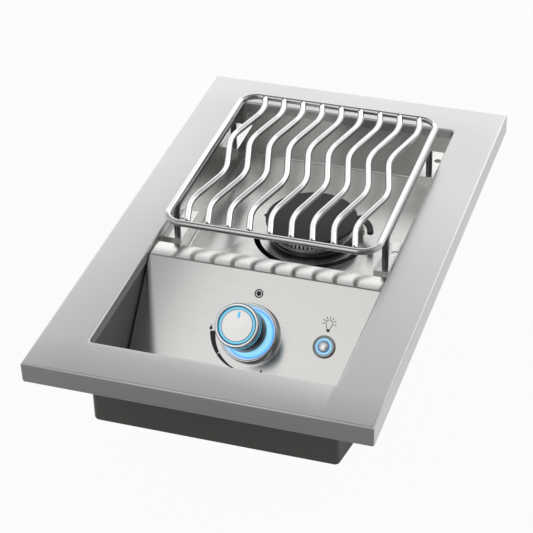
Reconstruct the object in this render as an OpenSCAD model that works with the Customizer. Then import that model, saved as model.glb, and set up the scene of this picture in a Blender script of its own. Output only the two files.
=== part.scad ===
// Built-in gas side burner: a drop-in steel flange with one burner under a wave-rod grate,
// and a sloping control panel with a lit knob and a lit push button in front of it.
// The origin is at the centre of the footprint, on the underside of the housing. +X is right, +Y is back.

/* [Flange] */
// Width of the flange, left to right
flange_w = 320; // [300:1:350]
// Depth of the flange, front to back
flange_d = 528; // [515:1:560]
// Border of the flange round its opening
border_w = 46; // [42:0.5:50]
// Sheet thickness of the flange, its lip and its skirt
flange_t = 1.2; // [1:0.1:1.6]
// Height of the skirt turned down round the flange
skirt_h = 20; // [16:0.5:24]
// Height of the lip turned down round the opening
lip_h = 10; // [9:0.5:12]
// Outside radius of the folded edges
fold_r = 2; // [1.8:0.1:3]
// Radius of the opening's corners
open_r = 3.5; // [3:0.1:5]

/* [Housing] */
// Depth of the housing below the top of the flange
housing_h = 130; // [126:1:150]
// Depth of its front end below the top of the flange
housing_front_h = 89; // [87:1:96]
// Slope of its underside behind the front end, in degrees
belly_angle = 17.5; // [15:0.5:22]
// Radius of its upright corners
housing_r = 5; // [3:0.5:8]
// Sheet thickness of the housing
housing_t = 1; // [0.8:0.1:1.2]
// Width of one vent slot in the back wall
vent_w = 5; // [3:0.5:7]
// Height of one vent slot
vent_h = 30; // [20:1:36]
// Distance from one vent slot to the next
vent_pitch = 14; // [12:0.5:16]

/* [Burner tray] */
// Depth of the tray floor below the top of the flange
tray_depth = 64; // [62:0.5:68]
// Sheet thickness of the tray
tray_t = 0.9; // [0.7:0.1:1.1]
// Width of a rail under the tray, front to back
rail_w = 20; // [14:1:26]
// Height of a rail
rail_h = 8; // [6:0.5:9]
// Sheet thickness of a rail
rail_t = 1.2; // [0.8:0.1:1.6]

/* [Control panel] */
// Slope of the panel, in degrees from level
panel_tilt = 45; // [43:0.5:47]
// Sheet thickness of the panel
panel_t = 1; // [0.8:0.1:1.2]
// Depth of its level strip, front to back
strip_w = 22.6; // [20:0.1:26]
// Depth of the strip below the top of the flange
strip_drop = 4.7; // [4:0.1:7]
// Height of the flange turned down behind the strip
strip_return_h = 14; // [10:0.5:18]
// Gap between the panel and each side wall of the housing
panel_side_gap = 2; // [1:0.1:3]
// Distance down the slope from the strip to the knob's axis
knob_down = 59.5; // [57:0.5:61]
// Distance down the slope from the strip to the button's axis
button_down = 59.5; // [50:0.5:64]
// Distance from the panel's side edge to the button's axis
button_inset = 42.2; // [34:0.5:44]

/* [Grate] */
// Diameter of the grate's rod
rod_d = 6.35; // [5.5:0.05:7]
// Distance from each side of the opening to the loop's rod centre
loop_inset = 10.2; // [9:0.1:12]
// Depth of the outer loop, between rod centres
loop_d = 246; // [240:1:250]
// Radius of the loop's corners, at the rod centre
loop_corner_r = 18; // [14:0.5:24]
// Height of the loop's rod centre above the top of the flange
grate_rise = 25; // [20:0.5:30]
// Distance from each side bar to the middle line of the nearest wave rod
wave_inset = 21.8; // [20:0.1:24]
// Length of one full wave of a rod
wave_length = 120.5; // [116:0.5:122]
// Swing of a wave to each side
wave_swing = 6.3; // [4:0.1:7]
// Bend radius of a wave, at the rod centre
wave_bend_r = 54; // [45:1:60]
// Distance from the front bar to the first turn of a wave
wave_lead = 39; // [35:0.5:42]
// Bend radius of the leg wires, at the rod centre
leg_bend_r = 8; // [6:0.5:12]
// Distance between the front and the rear leg
leg_span = 171; // [160:1:176]

/* [Grate brackets] */
// Width of a bracket's shelf
bracket_w = 18; // [15:0.5:21]
// Length of a bracket, front to back
bracket_l = 49; // [44:1:54]
// Sheet thickness of a bracket
bracket_t = 1.5; // [1.2:0.1:2]
// Height of the tab turned down in front
bracket_tab_h = 14; // [10:0.5:18]
// Radius of the round hole in the shelf
bracket_hole_r = 3.75; // [3:0.05:4.5]

/* [Burner] */
// Radius of the cap
cap_r = 46.3; // [45.8:0.1:46.5]
// Thickness of the cap
cap_t = 4; // [3:0.1:5]
// Depth of the cap's top below the top of the flange
cap_drop = 42; // [40:0.5:43]
// Radius of the port ring under the cap
head_r = 42.6; // [41.8:0.1:42.8]
// Number of burner ports
port_count = 64; // [48:1:72]
// Width of one burner port
port_w = 1.6; // [1.2:0.1:2.2]
// Height of one burner port
port_h = 7.5; // [5:0.5:7.5]
// Radius of the bowl at its rim
bowl_r = 43.4; // [42.6:0.2:45]
// Height of the bowl above the tray floor
bowl_h = 7; // [6.5:0.5:7.5]
// Outside radius of the air slots round the burner
slot_r = 59; // [58:0.5:62]
// Width of an air slot
slot_w = 6; // [4:0.5:6]
// Outside radius of the mixer tube
mixer_r = 13; // [12:0.5:13]
// Wall of the mixer tube
mixer_wall = 2; // [1.5:0.1:2.5]

/* [Knob] */
// Outside radius of the knob
knob_r = 20.5; // [19:0.1:21]
// Gap between the panel and the knob's lower edge
knob_float = 21; // [17:0.5:24]
// Height of the black knob body
knob_h = 26.6; // [24:0.1:30]
// Height of the bright cap ring
cap_ring_h = 5; // [4:0.1:6]
// Outside radius of the bright cap ring
cap_ring_r = 20.8; // [19.5:0.1:22]
// Radius of the round face in the cap
face_r = 14.9; // [14:0.1:16]
// Radius of the valve stem
stem_r = 4; // [3:0.1:4.5]
// Travel of the knob when it is pushed in
knob_travel = 3; // [2:0.1:3]

/* [Knob bezel] */
// Outside radius of the bezel on the panel
bezel_base_r = 28.5; // [28:0.1:31]
// Outside radius of the bezel's rim
bezel_rim_r = 27.1; // [26.8:0.1:27.6]
// Height of the bezel
bezel_h = 10.5; // [9:0.1:13]

/* [Light button] */
// Outside radius of the button's bezel
button_bezel_r = 10.6; // [10:0.1:12]
// Radius of the button's threaded barrel
button_barrel_r = 8; // [7.5:0.1:8.2]
// Radius of the moving cap
button_cap_r = 4.8; // [4.2:0.1:5.6]
// Travel of the button
button_travel = 1.5; // [1:0.1:2]

/* [Gas valve] */
// Radius of the valve body
valve_r = 15; // [14:0.5:16]
// Length of the valve body behind the panel
valve_l = 54; // [52:0.5:58]
// Radius of the rotor in the valve
rotor_r = 9; // [8:0.1:10]
// Outside radius of the gas pipe
pipe_r = 4.76; // [4:0.01:5]
// Bend radius of the gas pipe
pipe_bend_r = 15; // [12:0.5:20]
// Distance from the centre line to the gas inlet
inlet_out = 70; // [60:0.5:80]
// Thread radius of the gas inlet, a 5/8 inch flare thread
inlet_r = 7.94; // [7:0.01:9]
// Length of the inlet's thread outside its locknut
inlet_l = 16; // [12:0.5:20]

/* [Fits] */
// Radial gap of a running fit
run_gap = 0.05; // [0.03:0.01:0.08]
// Gap between pieces that are fixed side by side
seat_gap = 0.3; // [0.2:0.05:0.35]
// Gap that a weld bridges at the end of a rod
weld_gap = 0.15; // [0.1:0.05:0.3]

/* [Hidden] */
rod_count = 9;
ROD_NODES = [for (k = [1:rod_count]) str("wave_rod_", k)];

$fn = 48;
// How far a cut runs past the face that it opens
overrun = 2;
rod_r = rod_d / 2;

// The opening of the flange, and the walls that follow it
open_w = flange_w - 2 * border_w;
open_d = flange_d - 2 * border_w;
house_in_w = open_w + 2 * flange_t;
house_in_d = open_d + 2 * flange_t;
tray_in_w = open_w;
tray_back_y = open_d / 2;
tray_top = -lip_h - seat_gap;
tray_floor = -tray_depth;
tray_under = tray_floor - tray_t;

// The panel's folds, as places front to back and heights from the top of the flange
panel_w = house_in_w - 2 * panel_side_gap;
strip_back_y = -border_w;
strip_front_y = strip_back_y - strip_w;
apron_lift = 3;
apron_z = -housing_front_h + housing_t + apron_lift;
panel_foot_y = strip_front_y + (apron_z + strip_drop) / tan(panel_tilt);
apron_upstand_h = 8;
button_out = panel_w / 2 - button_inset;
tray_front_y = strip_back_y - panel_t - seat_gap;

// Grate places
loop_overhang = 8;
loop_front_y = strip_back_y - loop_overhang;
loop_back_y = loop_front_y + loop_d;
loop_x = open_w / 2 - loop_inset;
loop_w = 2 * loop_x;
wave_pitch = (loop_w - 2 * wave_inset) / (rod_count - 1);
leg_front_inset = 36;
leg_front_y = loop_front_y + leg_front_inset;
leg_setback = 12.5;
shelf_z = -lip_h;

// Burner places
burner_y = (tray_back_y + strip_back_y) / 2;
cap_top = -cap_drop;
cap_under = cap_top - cap_t;

// Where the valve meets its pipes, as depths behind the panel
valve_inlet_depth = 46;
valve_outlet_depth = 46;
knob_z = -strip_drop - knob_down * sin(panel_tilt);
knob_y = strip_front_y - knob_down * cos(panel_tilt);

// Frames of reference

// Places children in the frame whose origin is the centre of the flange's top face
module from_flange() {
    translate([0, 0, housing_h]) children();
}

// Places children on the panel's face: x right, y up the slope, z outward
module on_panel(across, down) {
    from_flange()
        translate([across, strip_front_y - down * cos(panel_tilt), -strip_drop - down * sin(panel_tilt)])
            rotate([panel_tilt, 0, 0]) children();
}

// Turns a section drawn as (y, z) into a bar along x, centred
module along_x(w) {
    translate([-w / 2, 0, 0]) rotate([90, 0, 90]) linear_extrude(w) children();
}

// Turns a section drawn as (x, z) into a bar along y, centred
module along_y(d) {
    translate([0, d / 2, 0]) rotate([90, 0, 0]) linear_extrude(d) children();
}

// Sheet-metal sections

function unit(v) = v / norm(v);
function left_of(v) = [-v[1], v[0]];
function mitre(a, b, c, t) =
    let (n1 = left_of(unit(b - a)), n2 = left_of(unit(c - b)), m = unit(n1 + n2))
    b + m * t / (m * n1);
function offset_line(p, t) =
    let (last = len(p) - 1)
    [for (i = [0:last])
        i == 0 ? p[0] + left_of(unit(p[1] - p[0])) * t :
        i == last ? p[i] + left_of(unit(p[i] - p[i - 1])) * t :
        mitre(p[i - 1], p[i], p[i + 1], t)];
// Section of a folded sheet whose one face follows the points of p
function sheet_section(p, t) =
    let (q = offset_line(p, t), last = len(q) - 1)
    concat(p, [for (i = [0:last]) q[last - i]]);

// A rectangle with round corners
module round_rect(w, d, r) {
    square([w - 2 * r, d], center = true);
    square([w, d - 2 * r], center = true);
    for (sx = [-1, 1], sy = [-1, 1]) {
        translate([sx * (w / 2 - r), sy * (d / 2 - r)]) circle(r);
    }
}

// Section of a plate with round top edges, its top at zero
module arch_section(w, h, r) {
    translate([-w / 2, -h]) square([w, h - r]);
    translate([-w / 2 + r, -h]) square([w - 2 * r, h]);
    for (s = [-1, 1]) {
        translate([s * (w / 2 - r), -r]) circle(r);
    }
}

// Section of an opening whose top edges flare outward round a fold, each flare a strip and a corner cut
module flare_section(w, r) {
    difference() {
        translate([-w / 2 - r, -r]) square([w + 2 * r, r + overrun]);
        for (s = [-1, 1]) {
            translate([s * (w / 2 + r), -r]) circle(r);
        }
    }
}

// An opening with round corners whose top edge flares outward round a fold, its top at zero
module flared_opening(w, d, h, corner, r) {
    translate([0, 0, -h]) linear_extrude(h + overrun) round_rect(w, d, corner);
    along_y(d - 2 * corner) flare_section(w, r);
    along_x(w - 2 * corner) flare_section(d, r);
    for (sx = [-1, 1], sy = [-1, 1]) {
        translate([sx * (w / 2 - corner), sy * (d / 2 - corner), 0]) rotate_extrude() difference() {
            translate([0, -r]) square([corner + r, r + overrun]);
            translate([corner + r, -r]) circle(r);
        }
    }
}

// A block with folded-over top edges, its top at zero
module folded_block(w, d, h, r) {
    intersection() {
        along_y(d) arch_section(w, h, r);
        along_x(w) arch_section(d, h, r);
        translate([0, 0, -h]) linear_extrude(h) round_rect(w, d, r);
    }
}

// Flange and housing

module top_frame() {
    color("gainsboro") from_flange() difference() {
        union() {
            difference() {
                folded_block(flange_w, flange_d, skirt_h, fold_r);
                translate([0, 0, -flange_t])
                    folded_block(flange_w - 2 * flange_t, flange_d - 2 * flange_t,
                                 skirt_h, fold_r - flange_t);
            }
            translate([0, 0, -lip_h]) linear_extrude(lip_h - flange_t / 2)
                round_rect(house_in_w, house_in_d, open_r + flange_t);
        }
        flared_opening(open_w, open_d, lip_h + overrun, open_r, fold_r);
    }
}

// Side outline of the housing as (y, z), drawn inward by the given distance
function housing_outline(inset, top) =
    let (
        half = house_in_d / 2 + housing_t - inset,
        outer_front = -house_in_d / 2 - housing_t,
        lift = inset / cos(belly_angle),
        front_z = -housing_front_h + lift + (outer_front + half) * tan(belly_angle),
        floor_z = -housing_h + inset,
        belly_y = outer_front + (housing_h - housing_front_h - inset + lift) / tan(belly_angle)
    )
    [[-half, top], [-half, front_z], [belly_y, floor_z], [half, floor_z], [half, top]];

module housing_block(inset, top) {
    w = house_in_w + 2 * (housing_t - inset);
    d = house_in_d + 2 * (housing_t - inset);
    intersection() {
        along_x(w) polygon(housing_outline(inset, top));
        translate([0, 0, -housing_h]) linear_extrude(housing_h + overrun)
            round_rect(w, d, housing_r - inset);
    }
}

vent_count = 8;
inlet_z = knob_z - valve_inlet_depth * sin(90 - panel_tilt);
inlet_hole_r = inlet_r + seat_gap;

module vent_slot() {
    for (s = [-1, 1]) {
        translate([0, 0, s * (vent_h - vent_w) / 2])
            rotate([90, 0, 0]) cylinder(h = 2 * overrun + housing_t, r = vent_w / 2, center = true, $fn = 24);
    }
    cube([vent_w, 2 * overrun + housing_t, vent_h - vent_w], center = true);
}

// The flat part of an end wall, between the round corners, from the given height up to the flange.
// As a cutter it runs past the sheet by the given distance.
module end_wall(side, foot, past = 0) {
    w = house_in_w + 2 * housing_t - 2 * housing_r;
    mirror([0, side < 0 ? 1 : 0, 0]) translate([-w / 2, house_in_d / 2 - past, foot])
        cube([w, housing_t + 2 * past, -flange_t - foot + past]);
}

module housing() {
    color("dimgray") from_flange() difference() {
        housing_block(0, -flange_t);
        housing_block(housing_t, overrun);
        end_wall(-1, -housing_front_h + housing_t, overrun);
        end_wall(1, -housing_h + housing_t, overrun);
    }
}

module housing_front() {
    color("dimgray") from_flange() end_wall(-1, -housing_front_h + housing_t);
}

module housing_back() {
    wall_y = house_in_d / 2 + housing_t / 2;
    vent_z = inlet_z - vent_h / 4;
    color("dimgray") from_flange() difference() {
        end_wall(1, -housing_h + housing_t);
        for (k = [0:vent_count - 1]) {
            translate([(k - (vent_count - 1) / 2) * vent_pitch + inlet_out / 3, wall_y, vent_z]) vent_slot();
        }
        translate([-inlet_out, wall_y, inlet_z])
            rotate([90, 0, 0]) cylinder(h = 2 * overrun + housing_t, r = inlet_hole_r, center = true);
    }
}

// Tray and its rails

rail_front_share = 0.2;
rail_back_share = 0.84;

// An inverted channel across the housing, its top face at zero
module rail() {
    along_x(house_in_w) difference() {
        translate([-rail_w / 2, -rail_h]) square([rail_w, rail_h]);
        translate([-rail_w / 2 + rail_t, -rail_h - overrun])
            square([rail_w - 2 * rail_t, rail_h + overrun - rail_t]);
    }
}

module tray_rails() {
    color("silver") from_flange() {
        for (share = [rail_front_share, rail_back_share]) {
            translate([0, tray_front_y + share * (tray_back_y - tray_front_y), tray_under]) rail();
        }
    }
}

electrode_r = 3;
electrode_angle = 24;
electrode_out = cap_r + electrode_r + seat_gap;
screw_r = 2;
bowl_screw_out = 24;

// Places children at the foot of the burner's axis, on the tray floor
module at_burner() {
    from_flange() translate([0, burner_y, tray_floor]) children();
}

module at_electrode() {
    at_burner() rotate([0, 0, electrode_angle]) translate([electrode_out, 0, 0]) children();
}

// Places children at each of the two burner screws
module at_bowl_screws() {
    at_burner() for (s = [-1, 1]) {
        translate([s * bowl_screw_out, 0, 0]) children();
    }
}

neck_r = 14;
neck_wall = 2;
neck_h = 12;

// Where each air slot begins and ends round the burner, in degrees from the right
slot_spans = [[60, 130], [194, 344]];

// A slot round the burner's axis through the tray floor
module air_slot(from, to) {
    rotate([0, 0, from]) rotate_extrude(angle = to - from)
        translate([slot_r - slot_w, 0]) square([slot_w, tray_t + 2 * overrun]);
}

module burner_tray() {
    inner_d = tray_back_y - tray_front_y;
    color("lightgray") difference() {
        from_flange() translate([0, (tray_front_y + tray_back_y) / 2, tray_under])
            linear_extrude(tray_top - tray_under)
                round_rect(tray_in_w + 2 * tray_t, inner_d + 2 * tray_t, open_r + tray_t);
        from_flange() translate([0, (tray_front_y + tray_back_y) / 2, tray_floor])
            linear_extrude(tray_top - tray_floor + overrun) round_rect(tray_in_w, inner_d, open_r);
        translate([0, 0, -tray_t - overrun]) {
            at_burner() cylinder(h = tray_t + 2 * overrun, r = neck_r + seat_gap);
            at_electrode() cylinder(h = tray_t + 2 * overrun, r = electrode_r + seat_gap);
            at_bowl_screws() cylinder(h = tray_t + 2 * overrun, r = screw_r + run_gap, $fn = 24);
            at_burner() for (span = slot_spans) {
                air_slot(span[0], span[1]);
            }
        }
    }
}

// Control panel: one folded sheet with the strip, the slope, the apron and an upstand in front

valve_screw_out = 11;

module control_panel() {
    front_y = -house_in_d / 2;
    folds = [
        [strip_back_y, -strip_drop - strip_return_h],
        [strip_back_y, -strip_drop],
        [strip_front_y, -strip_drop],
        [panel_foot_y, apron_z],
        [front_y + panel_t, apron_z],
        [front_y + panel_t, apron_z + apron_upstand_h]
    ];
    color("lightgray") difference() {
        from_flange() along_x(panel_w) polygon(sheet_section(folds, panel_t));
        from_flange() for (s = [-1, 1]) {
            translate([s * house_in_w / 2 - housing_r, front_y - overrun, apron_z - housing_r])
                cube([2 * housing_r, housing_r + overrun, apron_upstand_h + 2 * housing_r]);
        }
        on_panel(0, knob_down) cylinder(h = 2 * overrun + panel_t, r = stem_r + screw_r, center = true);
        on_panel(button_out, button_down)
            cylinder(h = 2 * overrun + panel_t, r = button_barrel_r + run_gap, center = true);
        for (s = [-1, 1]) {
            on_panel(s * valve_screw_out, knob_down)
                cylinder(h = 2 * overrun + panel_t, r = screw_r + run_gap, center = true, $fn = 24);
        }
    }
}

// Grate brackets: a shelf, a tab in front and a flange down the tray wall

bracket_hole_back = 32;
bracket_side_h = 16;

module bracket(side, leg_y) {
    outer_x = tray_in_w / 2 - seat_gap;
    color("whitesmoke") from_flange() mirror([side < 0 ? 1 : 0, 0, 0])
        translate([outer_x - bracket_w, leg_y - leg_setback, shelf_z]) difference() {
            union() {
                translate([0, 0, -bracket_t]) cube([bracket_w, bracket_l, bracket_t]);
                translate([bracket_w - bracket_t, 0, -bracket_side_h])
                    cube([bracket_t, bracket_l, bracket_side_h]);
                translate([0, 0, -bracket_tab_h / 2]) cube([bracket_w, bracket_t, bracket_tab_h / 2]);
                translate([bracket_w / 2, 0, -bracket_tab_h])
                    cube([bracket_w / 2, bracket_t, bracket_tab_h]);
                translate([bracket_w / 2, bracket_t, -bracket_tab_h / 2])
                    rotate([90, 0, 0]) intersection() {
                        cylinder(h = bracket_t, r = bracket_w / 2);
                        translate([-bracket_w / 2, -bracket_tab_h / 2, -overrun])
                            cube([bracket_w, bracket_tab_h, bracket_t + 2 * overrun]);
                    }
            }
            translate([bracket_w - bracket_t - bracket_hole_r - seat_gap, bracket_hole_back, -bracket_t - overrun])
                cylinder(h = bracket_t + 2 * overrun, r = bracket_hole_r);
        }
}

module grate_bracket_front_left() { bracket(-1, leg_front_y); }
module grate_bracket_front_right() { bracket(1, leg_front_y); }
module grate_bracket_rear_left() { bracket(-1, leg_front_y + leg_span); }
module grate_bracket_rear_right() { bracket(1, leg_front_y + leg_span); }

// Burner

bowl_wall = 2;
bowl_floor_t = 3;
bowl_foot_in = 4;
head_wall = 4;
head_floor_t = 3;
head_h = cap_under - tray_floor - bowl_floor_t;
cap_edge = 1.2;
cap_spigot_h = 5;
cap_spigot_wall = 2.5;
cap_fit_gap = 0.5;
cap_ear_r = 2;
cap_ear_t = 1.2;

module burner_bowl() {
    foot_r = bowl_r - bowl_foot_in;
    color([0.12, 0.12, 0.12]) difference() {
        at_burner() rotate_extrude() polygon([
            [neck_r - neck_wall, -neck_h], [neck_r, -neck_h], [neck_r, 0], [foot_r, 0],
            [bowl_r, bowl_foot_in], [bowl_r, bowl_h], [bowl_r - bowl_wall, bowl_h],
            [bowl_r - bowl_wall, bowl_foot_in + bowl_wall], [foot_r - bowl_wall, bowl_floor_t],
            [neck_r - neck_wall, bowl_floor_t]
        ]);
        translate([0, 0, -overrun]) at_bowl_screws()
            cylinder(h = bowl_floor_t + 2 * overrun, r = screw_r + run_gap, $fn = 24);
    }
}

screw_head_r = 3.6;
screw_head_h = 2.2;
burner_screw_l = 8;

// A pan-head screw under zero, its head above
module pan_screw(length) {
    translate([0, 0, -length]) cylinder(h = length, r = screw_r, $fn = 24);
    difference() {
        cylinder(h = screw_head_h, r1 = screw_head_r, r2 = screw_head_r - screw_head_h / 3, $fn = 32);
        translate([0, 0, screw_head_h / 2])
            for (a = [0, 90]) {
                rotate([0, 0, a]) translate([-screw_head_r / 2, -screw_r / 5, 0])
                    cube([screw_head_r, 2 * screw_r / 5, screw_head_h]);
            }
    }
}

module burner_screws() {
    color("silver") translate([0, 0, bowl_floor_t]) at_bowl_screws() pan_screw(burner_screw_l);
}

module burner_head() {
    base = bowl_floor_t;
    clear_r = bowl_screw_out - screw_head_r - seat_gap;
    clear_z = base + screw_head_h + seat_gap;
    nest_r = bowl_r - bowl_foot_in - bowl_wall - seat_gap;
    color("silver") difference() {
        at_burner() rotate_extrude() polygon([
            [neck_r - neck_wall, base], [clear_r, base], [clear_r, clear_z],
            [nest_r - head_wall, clear_z], [nest_r - head_wall, base],
            [nest_r, base], [nest_r, bowl_h], [head_r, bowl_h],
            [head_r, base + head_h], [head_r - head_wall, base + head_h],
            [head_r - head_wall, bowl_h + head_floor_t], [neck_r - neck_wall, bowl_h + head_floor_t]
        ]);
        translate([0, 0, base + head_h - port_h]) at_burner()
            for (k = [0:port_count - 1]) {
                rotate([0, 0, k * 360 / port_count]) translate([head_r - head_wall - overrun, -port_w / 2, 0])
                    cube([head_wall + 2 * overrun, port_w, port_h + overrun]);
            }
    }
}

module burner_cap() {
    spigot_r = head_r - head_wall - cap_fit_gap;
    base = cap_under - tray_floor;
    color([0.22, 0.22, 0.22]) at_burner() {
        rotate_extrude($fn = 96) polygon([
            [0, base], [spigot_r - cap_spigot_wall, base],
            [spigot_r - cap_spigot_wall, base - cap_spigot_h], [spigot_r, base - cap_spigot_h],
            [spigot_r, base], [cap_r - cap_edge, base], [cap_r, base + cap_edge],
            [cap_r, base + cap_t - cap_edge], [cap_r - cap_edge, base + cap_t], [0, base + cap_t]
        ]);
        rotate([0, 0, electrode_angle / 3]) translate([-cap_r, 0, base + (cap_t - cap_ear_t) / 2])
            cylinder(h = cap_ear_t, r = cap_ear_r, $fn = 24);
    }
}

mixer_z = -88;
socket_wall = 2.5;
mixer_mouth_y = -42;
mixer_bell_l = 12;
mixer_bell_flare = 4;

module mixer_tube() {
    socket_r = neck_r + run_gap;
    bore_r = mixer_r - mixer_wall;
    tube_l = burner_y - mixer_mouth_y;
    under = -tray_t - seat_gap;
    drop = mixer_z - tray_floor;
    color("silver") at_burner() difference() {
        union() {
            translate([0, 0, drop]) cylinder(h = under - drop, r = socket_r + socket_wall);
            translate([0, -tube_l, drop]) rotate([-90, 0, 0]) cylinder(h = tube_l, r = mixer_r);
            translate([0, 0, drop]) rotate([-90, 0, 0]) cylinder(h = socket_r, r = mixer_r);
            translate([0, -tube_l, drop]) rotate([-90, 0, 0])
                cylinder(h = mixer_bell_l, r1 = mixer_r + mixer_bell_flare, r2 = mixer_r);
        }
        translate([0, 0, drop]) cylinder(h = -drop, r = socket_r - neck_wall);
        translate([0, 0, -neck_h - seat_gap]) cylinder(h = neck_h + overrun, r = socket_r);
        translate([0, -tube_l - overrun, drop]) rotate([-90, 0, 0])
            cylinder(h = tube_l + overrun, r = bore_r);
        translate([0, -tube_l - overrun, drop]) rotate([-90, 0, 0])
            cylinder(h = mixer_bell_l + overrun, r1 = bore_r + mixer_bell_flare + mixer_wall / 2, r2 = bore_r);
    }
}

shutter_wall = 1;
shutter_l = 18;
shutter_window = 10;

// A sleeve with two windows, clamped round the mixer tube behind its bell
module air_shutter() {
    in_r = mixer_r + run_gap;
    color("silver") from_flange()
        translate([0, mixer_mouth_y + mixer_bell_l + seat_gap, mixer_z]) rotate([-90, 0, 0])
            difference() {
                cylinder(h = shutter_l, r = in_r + shutter_wall);
                translate([0, 0, -overrun]) cylinder(h = shutter_l + 2 * overrun, r = in_r);
                translate([0, 0, shutter_l / 2])
                    cube([4 * mixer_r, shutter_window, shutter_window], center = true);
            }
}

electrode_under = 16;
electrode_top = 14;
electrode_collar = 1.5;
electrode_collar_t = 3;
arm_w = 6;
arm_t = 3;
arm_r = 31.5;
arm_start = 62;
arm_end = 12;
arm_tip_r = 3.3;

// A ceramic rod that stands up through the tray floor, with a collar that rests on it
module igniter_electrode() {
    color("ivory") at_electrode() {
        translate([0, 0, -electrode_under]) cylinder(h = electrode_under + electrode_top, r = electrode_r);
        cylinder(h = electrode_collar_t, r = electrode_r + electrode_collar);
    }
}

// A flat arm on top of the electrode that curves forward round the burner
module igniter_arm() {
    reach = 2 * arm_r;
    turns = [arm_start, (arm_start + arm_end) / 2, arm_end];
    color([0.06, 0.06, 0.06]) at_electrode() translate([0, 0, electrode_top])
        rotate([0, 0, -electrode_angle]) translate([-arm_r * cos(arm_start), -arm_r * sin(arm_start), 0])
            linear_extrude(arm_t) {
                intersection() {
                    difference() {
                        circle(arm_r + arm_w / 2);
                        circle(arm_r - arm_w / 2);
                    }
                    polygon(concat([[0, 0]], [for (a = turns) reach * [cos(a), sin(a)]]));
                }
                for (a = [arm_start, arm_end]) {
                    rotate(a) translate([arm_r, 0]) circle(arm_tip_r);
                }
            }
}

// Gas valve, pipe and inlet

bonnet_l = 14;
rotor_l = 26;
rotor_bore_l = 20;
valve_collar_r = 18;
valve_collar_t = 5;
boss_r = 6;
valve_boss_out = valve_r + 9;
spud_r = 4;
nozzle_r = 2.5;
outlet_y = mixer_mouth_y - 16;
spud_l = 8;
nozzle_l = 10;
orifice_r = 0.6;

module on_knob_axis() {
    on_panel(0, knob_down) children();
}

// Height and place on the knob's axis, behind the panel, of the valve's outlet
outlet_body_y = knob_y + valve_outlet_depth * cos(90 - panel_tilt);

module valve_body() {
    color("darkgray") difference() {
        union() {
            on_knob_axis() {
                translate([0, 0, -panel_t - valve_collar_t]) cylinder(h = valve_collar_t, r = valve_collar_r);
                translate([0, 0, -valve_l]) cylinder(h = valve_l - panel_t, r = valve_r);
                translate([-valve_boss_out, 0, -valve_inlet_depth])
                    rotate([0, 90, 0]) cylinder(h = valve_boss_out, r = boss_r);
            }
            from_flange() translate([0, outlet_body_y, mixer_z])
                rotate([-90, 0, 0]) cylinder(h = outlet_y - outlet_body_y, r = boss_r);
        }
        on_knob_axis() {
            translate([0, 0, -bonnet_l - rotor_l - seat_gap]) cylinder(h = rotor_l + seat_gap, r = rotor_r + run_gap);
            translate([0, 0, -bonnet_l - run_gap]) cylinder(h = bonnet_l + overrun, r = stem_r + run_gap);
            for (s = [-1, 1]) {
                translate([s * valve_screw_out, 0, -panel_t - valve_screw_l - seat_gap])
                    cylinder(h = valve_screw_l + overrun, r = screw_r + run_gap, $fn = 24);
            }
            translate([-valve_boss_out - overrun, 0, -valve_inlet_depth])
                rotate([0, 90, 0]) cylinder(h = pipe_socket_l + overrun, r = pipe_r + run_gap);
        }
        from_flange() translate([0, outlet_y - spud_l, mixer_z])
            rotate([-90, 0, 0]) cylinder(h = spud_l + overrun, r = spud_r + run_gap);
    }
}

valve_screw_l = 10;
pipe_socket_l = 7;

module valve_screws() {
    color("silver") for (s = [-1, 1]) {
        on_panel(s * valve_screw_out, knob_down) pan_screw(valve_screw_l);
    }
}

module gas_orifice() {
    color("goldenrod") from_flange() translate([0, outlet_y, mixer_z]) rotate([-90, 0, 0]) difference() {
        union() {
            translate([0, 0, -spud_l]) cylinder(h = spud_l, r = spud_r);
            cylinder(h = spud_l / 2, r = boss_r, $fn = 6);
            cylinder(h = spud_l / 2 + nozzle_l, r = nozzle_r);
        }
        translate([0, 0, -spud_l - overrun]) cylinder(h = 2 * spud_l + nozzle_l, r = orifice_r);
    }
}

fitting_in_l = 12;
fitting_flange_t = 5;
fitting_socket_l = 8;

module gas_pipe() {
    start_x = -valve_boss_out + pipe_socket_l;
    corner_x = -inlet_out + pipe_bend_r;
    pipe_y = knob_y + valve_inlet_depth * cos(90 - panel_tilt);
    end_y = house_in_d / 2 - fitting_in_l + fitting_socket_l - seat_gap;
    color("orange") from_flange() translate([0, 0, inlet_z]) {
        translate([corner_x, pipe_y, 0]) rotate([0, 90, 0]) cylinder(h = start_x - corner_x, r = pipe_r);
        translate([corner_x, pipe_y + pipe_bend_r, 0]) rotate([0, 0, 180])
            rotate_extrude(angle = 90) translate([pipe_bend_r, 0]) circle(pipe_r);
        translate([-inlet_out, pipe_y + pipe_bend_r, 0])
            rotate([-90, 0, 0]) cylinder(h = end_y - pipe_y - pipe_bend_r, r = pipe_r);
    }
}

locknut_t = 5;
fitting_r = 11;
flare_l = 3;
// The shank behind the flare thread is a size smaller, and the locknut's thread is cut on it
shank_step = 0.6;
shank_r = inlet_r - shank_step;

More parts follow.
